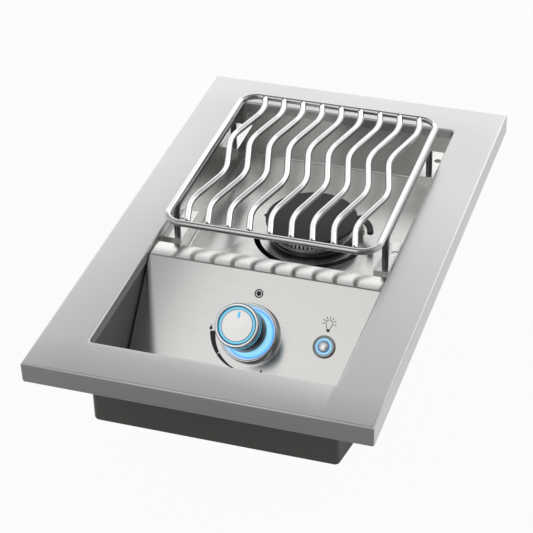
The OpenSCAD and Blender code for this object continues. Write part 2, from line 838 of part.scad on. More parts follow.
// Bulkhead fitting: a hexagon inside the back wall and a flare thread outside
module inlet_fitting() {
    out_l = housing_t + locknut_t + inlet_l;
    color("goldenrod") from_flange() translate([-inlet_out, house_in_d / 2, inlet_z]) rotate([-90, 0, 0])
        difference() {
            union() {
                translate([0, 0, -fitting_in_l]) cylinder(h = fitting_in_l - fitting_flange_t, r = pipe_r + flare_l);
                translate([0, 0, -fitting_flange_t]) cylinder(h = fitting_flange_t, r = fitting_r, $fn = 6);
                cylinder(h = out_l, r = shank_r);
                translate([0, 0, out_l - inlet_l]) cylinder(h = inlet_l, r = inlet_r);
                translate([0, 0, out_l]) cylinder(h = flare_l, r1 = inlet_r, r2 = inlet_r - flare_l);
            }
            translate([0, 0, -fitting_in_l - overrun])
                cylinder(h = fitting_socket_l + overrun, r = pipe_r + run_gap);
            translate([0, 0, -fitting_in_l]) cylinder(h = fitting_in_l + out_l + flare_l + overrun, r = pipe_r - neck_wall / 2);
        }
}

module inlet_locknut() {
    color("goldenrod") from_flange()
        translate([-inlet_out, house_in_d / 2 + housing_t, inlet_z]) rotate([-90, 0, 0]) difference() {
            cylinder(h = locknut_t, r = fitting_r, $fn = 6);
            translate([0, 0, -overrun]) cylinder(h = locknut_t + 2 * overrun, r = shank_r + run_gap);
        }
}

module valve_rotor() {
    color("goldenrod") on_knob_axis() translate([0, 0, -bonnet_l - rotor_l]) difference() {
        cylinder(h = rotor_l, r = rotor_r);
        translate([0, 0, rotor_l - rotor_bore_l]) cylinder(h = rotor_bore_l + overrun, r = stem_r + run_gap);
        translate([0, 0, (rotor_l - rotor_bore_l) / 2]) rotate([0, 90, 0])
            cylinder(h = rotor_r + overrun, r = screw_r, $fn = 24);
    }
}

// Knob

knob_top = knob_float + knob_h;
stem_flat = 1;
knob_wall = 2.5;
knob_deck_t = 4;
knob_flare = 0.4;
hub_r = 8;
hub_drop = 14;
deck_lip = 1.4;
line_ring_up_share = 0.84;
line_ring_h = 1.2;
line_ring_stand = 0.4;
line_ring_depth = 1;
face_gap = 0.2;
cap_ring_edge = 0.9;
cap_ring_in_r = cap_ring_r - 3.4 * cap_ring_edge;
halo_drop = 1.2;
face_t = 2.8;
face_edge = 0.5;

module valve_stem() {
    seat = -bonnet_l - rotor_bore_l + knob_travel + seat_gap;
    top = knob_top - knob_deck_t;
    color("silver") on_knob_axis() difference() {
        translate([0, 0, seat]) cylinder(h = top - seat, r = stem_r);
        translate([stem_r - stem_flat, -stem_r - overrun, top - hub_drop])
            cube([stem_r, 2 * stem_r + 2 * overrun, hub_drop + overrun]);
    }
}

module knob_body() {
    line_z = knob_float + line_ring_up_share * knob_h;
    groove_r = knob_r - line_ring_depth;
    color([0.08, 0.08, 0.08]) on_knob_axis() rotate_extrude($fn = 96) polygon([
        [stem_r + run_gap, knob_top - knob_deck_t - hub_drop], [hub_r, knob_top - knob_deck_t - hub_drop],
        [hub_r, knob_top - knob_deck_t], [knob_r - knob_wall, knob_top - knob_deck_t],
        [knob_r - knob_wall, knob_float + knob_flare], [knob_r - knob_flare, knob_float],
        [knob_r, knob_float + knob_flare],
        [knob_r, line_z], [groove_r, line_z], [groove_r, line_z + line_ring_h], [knob_r, line_z + line_ring_h],
        [knob_r, knob_top], [cap_ring_in_r - face_gap, knob_top],
        [cap_ring_in_r - face_gap, knob_top + deck_lip], [0, knob_top + deck_lip],
        [0, knob_top - knob_deck_t + run_gap], [stem_r + run_gap, knob_top - knob_deck_t + run_gap]
    ]);
}

module knob_line_ring() {
    line_z = knob_float + line_ring_up_share * knob_h;
    color("deepskyblue") on_knob_axis() translate([0, 0, line_z]) rotate_extrude($fn = 96)
        translate([knob_r - line_ring_depth + run_gap, 0])
            square([line_ring_depth + line_ring_stand - run_gap, line_ring_h]);
}

module knob_cap_ring() {
    top = knob_top + cap_ring_h;
    color("whitesmoke") on_knob_axis() rotate_extrude($fn = 96) polygon([
        [cap_ring_in_r, knob_top], [cap_ring_r - cap_ring_edge, knob_top], [cap_ring_r, knob_top + cap_ring_edge],
        [cap_ring_r, top - cap_ring_edge], [cap_ring_r - cap_ring_edge, top],
        [cap_ring_in_r + cap_ring_edge / 2, top], [cap_ring_in_r, top - cap_ring_edge / 2]
    ]);
}

module knob_halo_ring() {
    base = knob_top + deck_lip;
    top = knob_top + cap_ring_h - halo_drop;
    color("deepskyblue") on_knob_axis() rotate_extrude($fn = 96) polygon([
        [face_r + face_gap, base], [cap_ring_in_r - face_gap, base],
        [cap_ring_in_r - face_gap, top], [face_r + face_gap, top]
    ]);
}

module knob_face() {
    base = knob_top + deck_lip;
    color("lightgray") on_knob_axis() rotate_extrude($fn = 96) polygon([
        [0, base], [face_r, base], [face_r, base + face_t - face_edge],
        [face_r - face_edge, base + face_t], [0, base + face_t]
    ]);
}

// Bezel, light ring and lamp board under the knob

bezel_rim_w = 1.1;
funnel_foot_h = 2.5;
funnel_foot_r = 23.3;
led_board_t = 1.4;
led_board_in_r = 15.2;
light_ring_t = 1.4;
light_ring_in_r = 8;
light_ring_rise = 5.2;

module knob_bezel() {
    color("whitesmoke") on_knob_axis() rotate_extrude($fn = 96) polygon([
        [funnel_foot_r, 0], [bezel_base_r, 0], [bezel_rim_r + bezel_rim_w / 2, bezel_h - bezel_rim_w],
        [bezel_rim_r, bezel_h], [bezel_rim_r - bezel_rim_w, bezel_h], [funnel_foot_r, funnel_foot_h]
    ]);
}

module knob_led_board() {
    color("darkgreen") on_knob_axis() difference() {
        cylinder(h = led_board_t, r = funnel_foot_r - face_gap);
        translate([0, 0, -overrun]) cylinder(h = led_board_t + 2 * overrun, r = led_board_in_r);
    }
}

// A translucent dish whose rim rests on the lamp board
module knob_light_ring() {
    out_r = funnel_foot_r - face_gap;
    span = out_r - light_ring_in_r;
    rim = led_board_t;
    rise_shares = [[1, 0.2], [0.72, 0.6], [0.4, 0.9], [0, 1]];
    upper = [for (p = rise_shares) [light_ring_in_r + p[0] * span, rim + light_ring_t + p[1] * light_ring_rise]];
    last = len(upper) - 1;
    lower = [for (i = [0:last]) upper[last - i] - [0, light_ring_t]];
    color("deepskyblue") on_knob_axis() rotate_extrude($fn = 96)
        polygon(concat([[out_r, rim]], upper, lower, [[out_r - light_ring_t, rim]]));
}

// Light button

button_bezel_t = 2.2;
button_edge = 0.6;
button_ring_h = 1.9;
button_barrel_l = 22;
button_barrel_up = 0.6;
button_cap_stand = 2.6;
button_cap_l = 6.6;
button_nut_t = 3;
button_nut_r = 12;
terminal_w = 5;
terminal_t = 0.8;
terminal_l = 7;

module on_button_axis() {
    on_panel(button_out, button_down) children();
}

module button_bezel() {
    in_r = button_barrel_r + button_edge;
    color("whitesmoke") on_button_axis() rotate_extrude() polygon([
        [in_r, 0], [button_bezel_r, 0], [button_bezel_r, button_bezel_t - button_edge],
        [button_bezel_r - button_edge, button_bezel_t], [in_r, button_bezel_t]
    ]);
}

module button_light_ring() {
    color("dodgerblue") on_button_axis() translate([0, 0, button_barrel_up]) difference() {
        cylinder(h = button_ring_h - button_barrel_up, r = button_barrel_r + button_edge - face_gap);
        translate([0, 0, -overrun]) cylinder(h = button_ring_h + 2 * overrun, r = button_cap_r + seat_gap);
    }
}

module button_cap() {
    color("gainsboro") on_button_axis() translate([0, 0, button_cap_stand - button_cap_l])
        rotate_extrude() polygon([
            [0, 0], [button_cap_r, 0], [button_cap_r, button_cap_l - button_edge],
            [button_cap_r - button_edge, button_cap_l], [0, button_cap_l]
        ]);
}

module button_switch() {
    bore_l = button_cap_l - button_cap_stand + button_travel + seat_gap;
    color([0.15, 0.15, 0.15]) on_button_axis() {
        difference() {
            translate([0, 0, -button_barrel_l]) cylinder(h = button_barrel_l + button_barrel_up, r = button_barrel_r);
            translate([0, 0, -bore_l]) cylinder(h = bore_l + button_barrel_up + overrun, r = button_cap_r + run_gap);
        }
        for (s = [-1, 1]) {
            translate([s * button_barrel_r / 2, 0, -button_barrel_l - terminal_l / 2])
                cube([terminal_t, terminal_w, terminal_l], center = true);
        }
    }
}

module button_nut() {
    color("silver") on_button_axis() translate([0, 0, -panel_t - button_nut_t]) difference() {
        cylinder(h = button_nut_t, r = button_nut_r, $fn = 6);
        translate([0, 0, -overrun]) cylinder(h = button_nut_t + 2 * overrun, r = button_barrel_r + run_gap);
    }
}

// Grate: a loop, nine wave rods in its plane and two leg wires under its sides

// A straight rod between two places on the grate's plane
module rod_line(a, b) {
    v = b - a;
    translate([a[0], a[1], 0]) rotate([0, 90, atan2(v[1], v[0])]) cylinder(h = norm(v), r = rod_r);
}

// A straight that runs a little way into the bends at its ends, thinner by a hair so that it stays inside
module lapped_line(a, b) {
    v = unit(b - a) * bend_lap;
    w = b - a + 2 * v;
    translate([a[0] - v[0], a[1] - v[1], 0]) rotate([0, 90, atan2(w[1], w[0])])
        cylinder(h = norm(w), r = rod_r - bend_step);
}

// A bent rod about a centre, from one angle through a sweep
module rod_arc(centre, r, start, sweep) {
    translate([centre[0], centre[1], 0]) rotate([0, 0, start])
        rotate_extrude(angle = sweep) translate([r, 0]) circle(rod_r);
}

module on_grate_plane() {
    from_flange() translate([0, 0, grate_rise]) children();
}

module grate_loop() {
    in_x = loop_x - loop_corner_r;
    front_in_y = loop_front_y + loop_corner_r;
    back_in_y = loop_back_y - loop_corner_r;
    color("whitesmoke") on_grate_plane() {
        rod_line([-in_x, loop_front_y], [in_x, loop_front_y]);
        rod_line([-in_x, loop_back_y], [in_x, loop_back_y]);
        rod_line([-loop_x, front_in_y], [-loop_x, back_in_y]);
        rod_line([loop_x, front_in_y], [loop_x, back_in_y]);
        rod_arc([in_x, front_in_y], loop_corner_r, -90, 90);
        rod_arc([in_x, back_in_y], loop_corner_r, 0, 90);
        rod_arc([-in_x, back_in_y], loop_corner_r, 90, 90);
        rod_arc([-in_x, front_in_y], loop_corner_r, 180, 90);
    }
}

half_wave = wave_length / 2;
bend_step = 0.01;
bend_lap = rod_r / 4;
turn_count = 4;
// Two turns that face each other are joined by the straight that touches both
turn_span = norm([2 * (wave_bend_r - wave_swing), half_wave]);
turn_angle = asin(2 * wave_bend_r / turn_span) - atan2(2 * (wave_bend_r - wave_swing), half_wave);

function turn_side(k) = k % 2 == 0 ? -1 : 1;
function turn_centre(x0, k) =
    [x0 + turn_side(k) * (wave_swing - wave_bend_r), loop_front_y + wave_lead + k * half_wave];
// Where turn k begins (end = -1) or ends (end = 1)
function turn_end(x0, k, end) =
    turn_centre(x0, k) + wave_bend_r * [turn_side(k) * cos(turn_angle), end * sin(turn_angle)];
// Where the straight that leaves a turn reaches the bar at the given depth
function bar_end(x0, k, end, bar_y) =
    let (p = turn_end(x0, k, end), run = abs(bar_y - p[1]))
    [p[0] - turn_side(k) * run * tan(turn_angle), bar_y];

module wave_rod(k) {
    x0 = (k - (rod_count - 1) / 2) * wave_pitch;
    last = turn_count - 1;
    color("whitesmoke") on_grate_plane() difference() {
        union() {
            lapped_line(bar_end(x0, 0, -1, loop_front_y), turn_end(x0, 0, -1));
            for (i = [0:last]) {
                rod_arc(turn_centre(x0, i), wave_bend_r, (turn_side(i) < 0 ? 180 : 0) - turn_angle, 2 * turn_angle);
            }
            for (i = [0:last - 1]) {
                lapped_line(turn_end(x0, i, 1), turn_end(x0, i + 1, -1));
            }
            lapped_line(turn_end(x0, last, 1), bar_end(x0, last, 1, loop_back_y));
        }
        for (y = [loop_front_y, loop_back_y]) {
            translate([x0, y, 0]) rotate([0, 90, 0])
                cylinder(h = 2 * wave_pitch, r = rod_r + weld_gap, center = true);
        }
    }
}

module leg_wire(side) {
    run_z = grate_rise - 2 * rod_r - weld_gap;
    back_y = leg_front_y + leg_span;
    color("whitesmoke") from_flange() translate([side * loop_x, 0, 0]) rotate([90, 0, 90]) {
        // From here x is the depth and y is the height
        rod_line([leg_front_y + leg_bend_r, run_z], [back_y - leg_bend_r, run_z]);
        rod_arc([back_y - leg_bend_r, run_z - leg_bend_r], leg_bend_r, 0, 90);
        rod_arc([leg_front_y + leg_bend_r, run_z - leg_bend_r], leg_bend_r, 90, 90);
        rod_line([leg_front_y, run_z - leg_bend_r], [leg_front_y, shelf_z]);
        rod_line([back_y, run_z - leg_bend_r], [back_y, shelf_z]);
    }
}

module grate_leg_left() { leg_wire(-1); }
module grate_leg_right() { leg_wire(1); }

top_frame();
housing();
housing_front();
housing_back();
tray_rails();
burner_tray();
control_panel();
grate_bracket_front_left();
grate_bracket_front_right();
grate_bracket_rear_left();
grate_bracket_rear_right();
burner_bowl();
burner_screws();
mixer_tube();
air_shutter();
burner_head();
burner_cap();
igniter_electrode();
igniter_arm();
valve_body();
valve_screws();
gas_orifice();
gas_pipe();
inlet_fitting();
inlet_locknut();
valve_rotor();
valve_stem();
knob_body();
knob_line_ring();
knob_cap_ring();
knob_halo_ring();
knob_face();
knob_bezel();
knob_light_ring();
knob_led_board();
button_bezel();
button_light_ring();
button_cap();
button_switch();
button_nut();
grate_loop();
grate_leg_left();
grate_leg_right();
for (k = [0:rod_count - 1]) {
    wave_rod(k);
}
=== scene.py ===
"""Looks for the built-in side burner: a steel flange with one gas burner, a wave-rod grate and a lit knob.

Metres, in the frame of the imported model: the underside of the housing is at zero and +Y is the back.
"""

import math

import bmesh
import bpy
from mathutils import Matrix, Vector


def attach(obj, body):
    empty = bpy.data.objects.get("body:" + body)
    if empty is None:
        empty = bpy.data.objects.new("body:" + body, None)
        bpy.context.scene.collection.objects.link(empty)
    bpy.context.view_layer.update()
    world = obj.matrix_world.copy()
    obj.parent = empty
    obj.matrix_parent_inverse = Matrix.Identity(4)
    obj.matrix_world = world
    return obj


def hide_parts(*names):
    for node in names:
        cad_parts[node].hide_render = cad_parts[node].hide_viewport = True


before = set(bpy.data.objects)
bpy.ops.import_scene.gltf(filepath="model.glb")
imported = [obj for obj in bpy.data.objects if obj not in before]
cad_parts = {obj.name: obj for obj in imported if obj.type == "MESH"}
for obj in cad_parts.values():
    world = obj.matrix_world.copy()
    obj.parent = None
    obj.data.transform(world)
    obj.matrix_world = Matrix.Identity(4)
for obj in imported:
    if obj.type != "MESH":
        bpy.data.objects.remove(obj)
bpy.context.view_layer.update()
scene = bpy.context.scene
scene.view_settings.view_transform = "Standard"

# The camera stands 1.9 m away, above the unit and to its right, with a long lens that keeps the flange's
# sides nearly parallel.
camera = bpy.data.objects.new("camera", bpy.data.cameras.new("camera"))
camera_place = (0.4733, -1.4447, 1.1522)
heading, tilt, roll = 18.86, 54.95, -1.78
camera.matrix_world = (
    Matrix.Translation(camera_place)
    @ Matrix.Rotation(math.radians(heading), 4, "Z")
    @ Matrix.Rotation(math.radians(tilt), 4, "X")
    @ Matrix.Rotation(math.radians(roll), 4, "Z")
)
camera.data.sensor_width = 36
camera.data.lens = 129.1
scene.collection.objects.link(camera)
scene.camera = camera

# The room is a pale floor that the camera sees nearly white, and three soft boxes: two low ones behind the
# unit that the flange and the rods mirror, and one in front overhead that the sloping panel mirrors.


def linear(colour):
    """An sRGB hex colour as linear red, green and blue, with an alpha of one."""
    parts = [int(colour[i:i + 2], 16) / 255 for i in (1, 3, 5)]
    return [p / 12.92 if p <= 0.04045 else ((p + 0.055) / 1.055) ** 2.4 for p in parts] + [1.0]


def add(tree, kind, inputs=None, **settings):
    """Adds a node with its settings, and its inputs as values or as sockets to link."""
    new = tree.nodes.new(kind)
    for key, value in settings.items():
        setattr(new, key, value)
    for key, value in (inputs or {}).items():
        if isinstance(value, bpy.types.NodeSocket):
            tree.links.new(value, new.inputs[key])
        else:
            new.inputs[key].default_value = value
    return new


world = bpy.data.worlds.new("studio")
world.use_nodes = True
scene.world = world
tree = world.node_tree
tree.nodes.clear()
direction = add(tree, "ShaderNodeTexCoord")
height = add(tree, "ShaderNodeSeparateXYZ", {0: direction.outputs["Generated"]})
sky = add(tree, "ShaderNodeValToRGB", {0: height.outputs["Z"]})
stops = sky.color_ramp.elements
stops[0].color = linear("#C4C4C4")
stops[1].color = linear("#7A7A7A")
for share, colour in ((0.5, "#C8C8C8"), (0.75, "#CFCFCF"), (0.92, "#8A8A8A")):
    stops.new(share).color = linear(colour)
# The room is dark at the front right, where no wall is lit. The well's left wall mirrors that corner.
ahead = add(tree, "ShaderNodeMapRange", {"Value": height.outputs["Y"], "From Min": 0.0, "From Max": -0.3})
right = add(tree, "ShaderNodeMapRange", {"Value": height.outputs["X"], "From Min": -0.16, "From Max": 0.04})
low = add(tree, "ShaderNodeMapRange", {"Value": height.outputs["Z"], "From Min": 0.85, "From Max": 0.70})
corner = add(tree, "ShaderNodeMath", {0: ahead.outputs[0], 1: right.outputs[0]}, operation="MULTIPLY")
dark = add(tree, "ShaderNodeMath", {0: corner.outputs[0], 1: low.outputs[0]}, operation="MULTIPLY")
strength = add(tree, "ShaderNodeMapRange", {"Value": dark.outputs[0], "To Min": 1.0, "To Max": 0.2})
lit = add(tree, "ShaderNodeBackground", {"Color": sky.outputs["Color"], "Strength": strength.outputs[0]})
add(tree, "ShaderNodeOutputWorld", {"Surface": lit.outputs[0]})

floor_mesh = bmesh.new()
bmesh.ops.create_grid(floor_mesh, x_segments=1, y_segments=1, size=6.0)
floor_data = bpy.data.meshes.new("floor")
floor_mesh.to_mesh(floor_data)
floor_mesh.free()
floor = bpy.data.objects.new("floor", floor_data)
scene.collection.objects.link(floor)
paper = bpy.data.materials.new("paper_sweep")
paper.use_nodes = True
tree = paper.node_tree
tree.nodes.clear()
path = add(tree, "ShaderNodeLightPath")
matt = add(tree, "ShaderNodeBsdfDiffuse", {"Color": linear("#A8A8A8")})
white = add(tree, "ShaderNodeEmission", {"Color": (1, 1, 1, 1), "Strength": 1.0})
mirrored = add(tree, "ShaderNodeMath", {0: path.outputs["Is Glossy Ray"],
                                        1: path.outputs["Is Transmission Ray"]}, operation="ADD")
# What polished metal mirrors of the floor is white behind and beside the unit, and dull before and under it:
# painted shade that stands for the unit's shadow on the floor.
spread = add(tree, "ShaderNodeTexCoord")
apart = add(tree, "ShaderNodeSeparateXYZ", {0: spread.outputs["Object"]})
aside = add(tree, "ShaderNodeMath", {0: apart.outputs["X"]}, operation="ABSOLUTE")
beyond = add(tree, "ShaderNodeMapRange", {"Value": aside.outputs[0], "From Min": 0.155, "From Max": 0.18})
behind = add(tree, "ShaderNodeMapRange", {"Value": apart.outputs["Y"], "From Min": -0.36, "From Max": -0.16})
pale = add(tree, "ShaderNodeMath", {0: beyond.outputs[0], 1: behind.outputs[0]}, operation="MULTIPLY")
white_share = add(tree, "ShaderNodeMapRange", {"Value": pale.outputs[0], "To Min": 0.10, "To Max": 0.90})
faint = add(tree, "ShaderNodeMath", {0: mirrored.outputs[0], 1: white_share.outputs[0]}, operation="MULTIPLY")
share = add(tree, "ShaderNodeMath", {0: path.outputs["Is Camera Ray"], 1: 0.96, 2: faint.outputs[0]},
            operation="MULTIPLY_ADD")
mixed = add(tree, "ShaderNodeMixShader", {0: share.outputs[0], 1: matt.outputs[0], 2: white.outputs[0]})
add(tree, "ShaderNodeOutputMaterial", {"Surface": mixed.outputs[0]})
floor_data.materials.append(paper)

for name, place, aim, roll, size, power in (
    ("soft_box_back_left", (-0.55, 1.30, 0.645), (-0.35, 0.05, 0.13), -8, (2.4, 0.88), 6.35),
    ("soft_box_back_right", (0.78, 1.30, 0.72), (0.30, 0.05, 0.13), 0, (1.25, 1.1), 3.3),
    ("soft_box_front", (-0.285, -0.92, 1.19), (-0.02, -0.15, 0.08), 0, (0.52, 1.0), 1.02),
):
    lamp = bpy.data.lights.new(name, "AREA")
    lamp.shape = "RECTANGLE"
    lamp.size, lamp.size_y = size
    lamp.energy = power
    box = bpy.data.objects.new(name, lamp)
    box.matrix_world = Matrix.Translation(place) @ (
        (Vector(place) - Vector(aim)).to_track_quat("Z", "Y").to_matrix().to_4x4()
        @ Matrix.Rotation(math.radians(roll), 4, "Z")
    )
    box.visible_camera = False
    scene.collection.objects.link(box)

# The housing hangs through the counter. It is a box of 1 mm steel sheet, folded and welded from three pieces
# and powder coated in a dark satin grey, with vent slots in its back wall and a hole for the gas inlet.
top = 0.130


def make_piece(bm, name, material, body, replaced=(), crease=35.0):
    """Turns a bmesh into a shown piece with smooth faces and sharp creases, and lets it ride on its body."""
    for face in bm.faces:
        face.smooth = True
    for edge in bm.edges:
        if len(edge.link_faces) == 2 and edge.calc_face_angle(0.0) > math.radians(crease):
            edge.smooth = False
    data = bpy.data.meshes.new(name)
    bm.to_mesh(data)
    bm.free()
    data.materials.append(material)
    piece = bpy.data.objects.new(name, data)
    scene.collection.objects.link(piece)
    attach(piece, body)
    if replaced:
        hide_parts(*replaced)
    return piece


def new_finish(name, colour, metallic, roughness, **sockets):
    """Starts a finish: its Principled shader with constant values on its own sockets."""
    material = bpy.data.materials.new(name)
    material.use_nodes = True
    shader = material.node_tree.nodes["Principled BSDF"]
    shader.inputs["Base Color"].default_value = linear(colour)
    shader.inputs["Metallic"].default_value = metallic
    shader.inputs["Roughness"].default_value = roughness
    for key, value in sockets.items():
        shader.inputs[key.replace("_", " ")].default_value = value
    return material, material.node_tree, shader


def edge_mask(tree, radius):
    """A mask that is 1 along edges and 0 on flats: where a normal rounded over a radius leaves the face's."""
    rounded = add(tree, "ShaderNodeBevel", {"Radius": radius}, samples=4)
    face = add(tree, "ShaderNodeNewGeometry")
    same = add(tree, "ShaderNodeVectorMath", {0: rounded.outputs[0], 1: face.outputs["Normal"]},
               operation="DOT_PRODUCT")
    flat, bent = 0.995, 0.90
    return add(tree, "ShaderNodeMapRange",
               {"Value": same.outputs["Value"], "From Min": flat, "From Max": bent})


# Powder coat: polyester powder melted onto steel. A soft broad sheen with a fine orange peel of about 1.2 mm,
# and a little paler and smoother along its edges.
powder_coat, tree, shader = new_finish("powder_coat_grey", "#7A7A76", 0.0, 0.42)
where = add(tree, "ShaderNodeTexCoord")
peel = add(tree, "ShaderNodeTexNoise", {"Vector": where.outputs["Object"], "Scale": 800.0, "Detail": 2.0})
tone = add(tree, "ShaderNodeTexNoise", {"Vector": where.outputs["Object"], "Scale": 9.0, "Detail": 1.0})
shade = add(tree, "ShaderNodeMix", {0: tone.outputs["Fac"], 6: linear("#757571"), 7: linear("#7F7F7B")},
            data_type="RGBA")
edge_share = edge_mask(tree, 0.0015)
paler_edges = add(tree, "ShaderNodeMix", {0: edge_share.outputs[0], 6: shade.outputs[2], 7: linear("#8C8B87")},
             data_type="RGBA")
tree.links.new(paler_edges.outputs[2], shader.inputs["Base Color"])
rough = add(tree, "ShaderNodeMapRange", {"Value": edge_share.outputs[0], "To Min": 0.44, "To Max": 0.36})
tree.links.new(rough.outputs[0], shader.inputs["Roughness"])
bump = add(tree, "ShaderNodeBump", {"Height": peel.outputs["Fac"], "Strength": 0.12, "Distance": 0.0002})
tree.links.new(bump.outputs[0], shader.inputs["Normal"])


# Places nearer to each other than a hair are one place.
hair = 1e-6


def vertices_in(geometry):
    """The vertices among what an operator has made."""
    return [g for g in geometry if isinstance(g, bmesh.types.BMVert)]


def round_off(bm, edges, radius, segments, **settings):
    """Rounds edges as a bend does."""
    bmesh.ops.bevel(bm, geom=edges, offset=radius, segments=segments, profile=0.5, affect="EDGES", material=-1,
                    **settings)


def is_upright(edge):
    """Whether an edge runs straight up."""
    return (edge.verts[0].co.xy - edge.verts[1].co.xy).length < hair


def rise(edge):
    """How far an edge climbs."""
    return abs(edge.verts[0].co.z - edge.verts[1].co.z)


house_x, house_y = 0.1162, 0.2202
house_sheet, house_corner, house_bend = 0.001, 0.005, 0.0035
house_top_gap, house_front_depth = 0.0014, 0.089
house_top_z, house_front_z = top - house_top_gap, top - house_front_depth
belly_slope = math.radians(17.5)
belly_y = -house_y + house_front_z / math.tan(belly_slope)
bm = bmesh.new()
side = [bm.verts.new((-house_x, y, z)) for y, z in (
    (-house_y, house_top_z), (-house_y, house_front_z), (belly_y, 0), (house_y, 0), (house_y, house_top_z))]
pushed = bmesh.ops.extrude_face_region(bm, geom=[bm.faces.new(side)])["geom"]
bmesh.ops.translate(bm, verts=vertices_in(pushed), vec=(2 * house_x, 0, 0))
bmesh.ops.recalc_face_normals(bm, faces=bm.faces)
round_off(bm, [e for e in bm.edges if is_upright(e)], house_corner, 6)
lower = [e for e in bm.edges if e.calc_face_angle(0.0) > math.radians(10) and not is_upright(e)
         and max(v.co.z for v in e.verts) < house_front_z + house_sheet]
round_off(bm, lower, house_bend, 4)
bmesh.ops.delete(bm, geom=[f for f in bm.faces if f.calc_center_median().z > house_top_z - hair],
                 context="FACES")
bmesh.ops.solidify(bm, geom=bm.faces[:], thickness=house_sheet)
housing = make_piece(bm, "housing_shell", powder_coat, "root", ["housing", "housing_front", "housing_back"])


def punch_out(piece, bm):
    """Cuts a bmesh's closed shapes out of a piece."""
    bmesh.ops.recalc_face_normals(bm, faces=bm.faces)
    data = bpy.data.meshes.new("punch")
    bm.to_mesh(data)
    bm.free()
    punch = bpy.data.objects.new("punch", data)
    scene.collection.objects.link(punch)
    cut = piece.modifiers.new("punched", "BOOLEAN")
    cut.object = punch
    cut.operation = "DIFFERENCE"
    cut.solver = "EXACT"
    bpy.context.view_layer.update()
    piece.data = bpy.data.meshes.new_from_object(piece.evaluated_get(bpy.context.evaluated_depsgraph_get()))
    piece.modifiers.clear()
    bpy.data.objects.remove(punch)


def push_through(bm, way):
    """Gives flat shapes depth along a way."""
    deep = bmesh.ops.extrude_face_region(bm, geom=bm.faces[:])["geom"]
    bmesh.ops.translate(bm, verts=vertices_in(deep), vec=way)


# The vents are cut as eight upright slots of 5 x 30 mm with round ends, and the inlet hole is drilled.
punch_reach = 0.004
inlet_x, inlet_z, inlet_hole_r = -0.07, 0.0507, 0.00824
vent_count, vent_pitch, vent_r, vent_stretch, vent_drop = 8, 0.014, 0.0025, 0.0125, 0.0075
vent_z = inlet_z - vent_drop
bm = bmesh.new()
for k in range(vent_count):
    x = (k - (vent_count - 1) / 2) * vent_pitch - inlet_x / 3
    made = bmesh.ops.create_circle(
        bm, cap_ends=True, radius=vent_r, segments=16,
        matrix=Matrix.Translation((x, house_y + punch_reach, vent_z)) @ Matrix.Rotation(math.pi / 2, 4, "X"))
    for v in made["verts"]:
        v.co.z += vent_stretch if v.co.z > vent_z else -vent_stretch
behind_inlet = Matrix.Translation((inlet_x, house_y + punch_reach, inlet_z))
bmesh.ops.create_circle(bm, cap_ends=True, radius=inlet_hole_r, segments=32,
                        matrix=behind_inlet @ Matrix.Rotation(math.pi / 2, 4, "X"))
push_through(bm, (0, -2 * punch_reach, 0))
punch_out(housing, bm)

# The flange is one 1.2 mm sheet of stainless steel, folded down round its outer edge into a skirt and round
# the opening into a lip, then brushed from left to right. Its folds are smoother, with a painted highlight.


def brushed_stainless(name, colour, roughness, spread, relief=0.05, stretch=0.65):
    """Stainless sheet brushed along X. The grain blurs what it mirrors across the grain and not along it."""
    material, tree, shader = new_finish(name, colour, 1.0, roughness, Anisotropic=stretch)
    where = add(tree, "ShaderNodeTexCoord")
    # Real grain is 0.1 mm wide, too fine to show, so it is drawn 0.9 mm wide and 70 mm long. Sides that were
    # folded down carry it upright.
    fine, long = 1100.0, 14.0
    along = add(tree, "ShaderNodeMapping", {"Vector": where.outputs["Object"], "Scale": (long, fine, fine)})
    upright = add(tree, "ShaderNodeMapping", {"Vector": where.outputs["Object"], "Scale": (fine, fine, long)})
    face = add(tree, "ShaderNodeNewGeometry")
    facing = add(tree, "ShaderNodeSeparateXYZ", {0: face.outputs["Normal"]})
    aside = add(tree, "ShaderNodeMath", {0: facing.outputs["X"]}, operation="ABSOLUTE")
    folded = add(tree, "ShaderNodeMath", {0: aside.outputs[0], 1: 0.7}, operation="GREATER_THAN")
    way = add(tree, "ShaderNodeMix", {0: folded.outputs[0], 4: along.outputs[0], 5: upright.outputs[0]},
              data_type="VECTOR")
    grain = add(tree, "ShaderNodeTexNoise", {"Vector": way.outputs[1], "Scale": 1.0, "Detail": 3.0})
    cloud = add(tree, "ShaderNodeTexNoise", {"Vector": where.outputs["Object"], "Scale": 7.0, "Detail": 2.0})
    base = linear(colour)
    dark = [c * (1.0 - spread) for c in base[:3]] + [1.0]
    light = [min(1.0, c * (1.0 + spread)) for c in base[:3]] + [1.0]
    tint = add(tree, "ShaderNodeMix", {0: grain.outputs["Fac"], 6: dark, 7: light}, data_type="RGBA")
    vary = 0.03
    rough = add(tree, "ShaderNodeMapRange", {"Value": cloud.outputs["Fac"], "To Min": roughness - vary,
                                             "To Max": roughness + vary})
    # Along folds and edges the colour is painted paler, a painted highlight, and the roughness drops.
    edge_share = edge_mask(tree, 0.001)
    bright = add(tree, "ShaderNodeMix", {0: edge_share.outputs[0], 6: tint.outputs[2], 7: linear("#F4F4F4")},
                 data_type="RGBA")
    tree.links.new(bright.outputs[2], shader.inputs["Base Color"])
    polished = add(tree, "ShaderNodeMath", {0: edge_share.outputs[0], 1: -0.4 * roughness, 2: rough.outputs[0]},
                   operation="MULTIPLY_ADD")
    tree.links.new(polished.outputs[0], shader.inputs["Roughness"])
    depth = 0.0001
    bump = add(tree, "ShaderNodeBump", {"Height": grain.outputs["Fac"], "Strength": relief, "Distance": depth})
    tree.links.new(bump.outputs[0], shader.inputs["Normal"])
    # The tangent runs square to X on every face, and along Y where a face looks straight along X.
    across = add(tree, "ShaderNodeVectorMath", {0: face.outputs["Normal"], 1: (1, 0, 0)},
                 operation="CROSS_PRODUCT")
    tangent = add(tree, "ShaderNodeVectorMath", {0: across.outputs[0], 1: (0, 0.01, 0)}, operation="ADD")
    tree.links.new(tangent.outputs[0], shader.inputs["Tangent"])
    return material


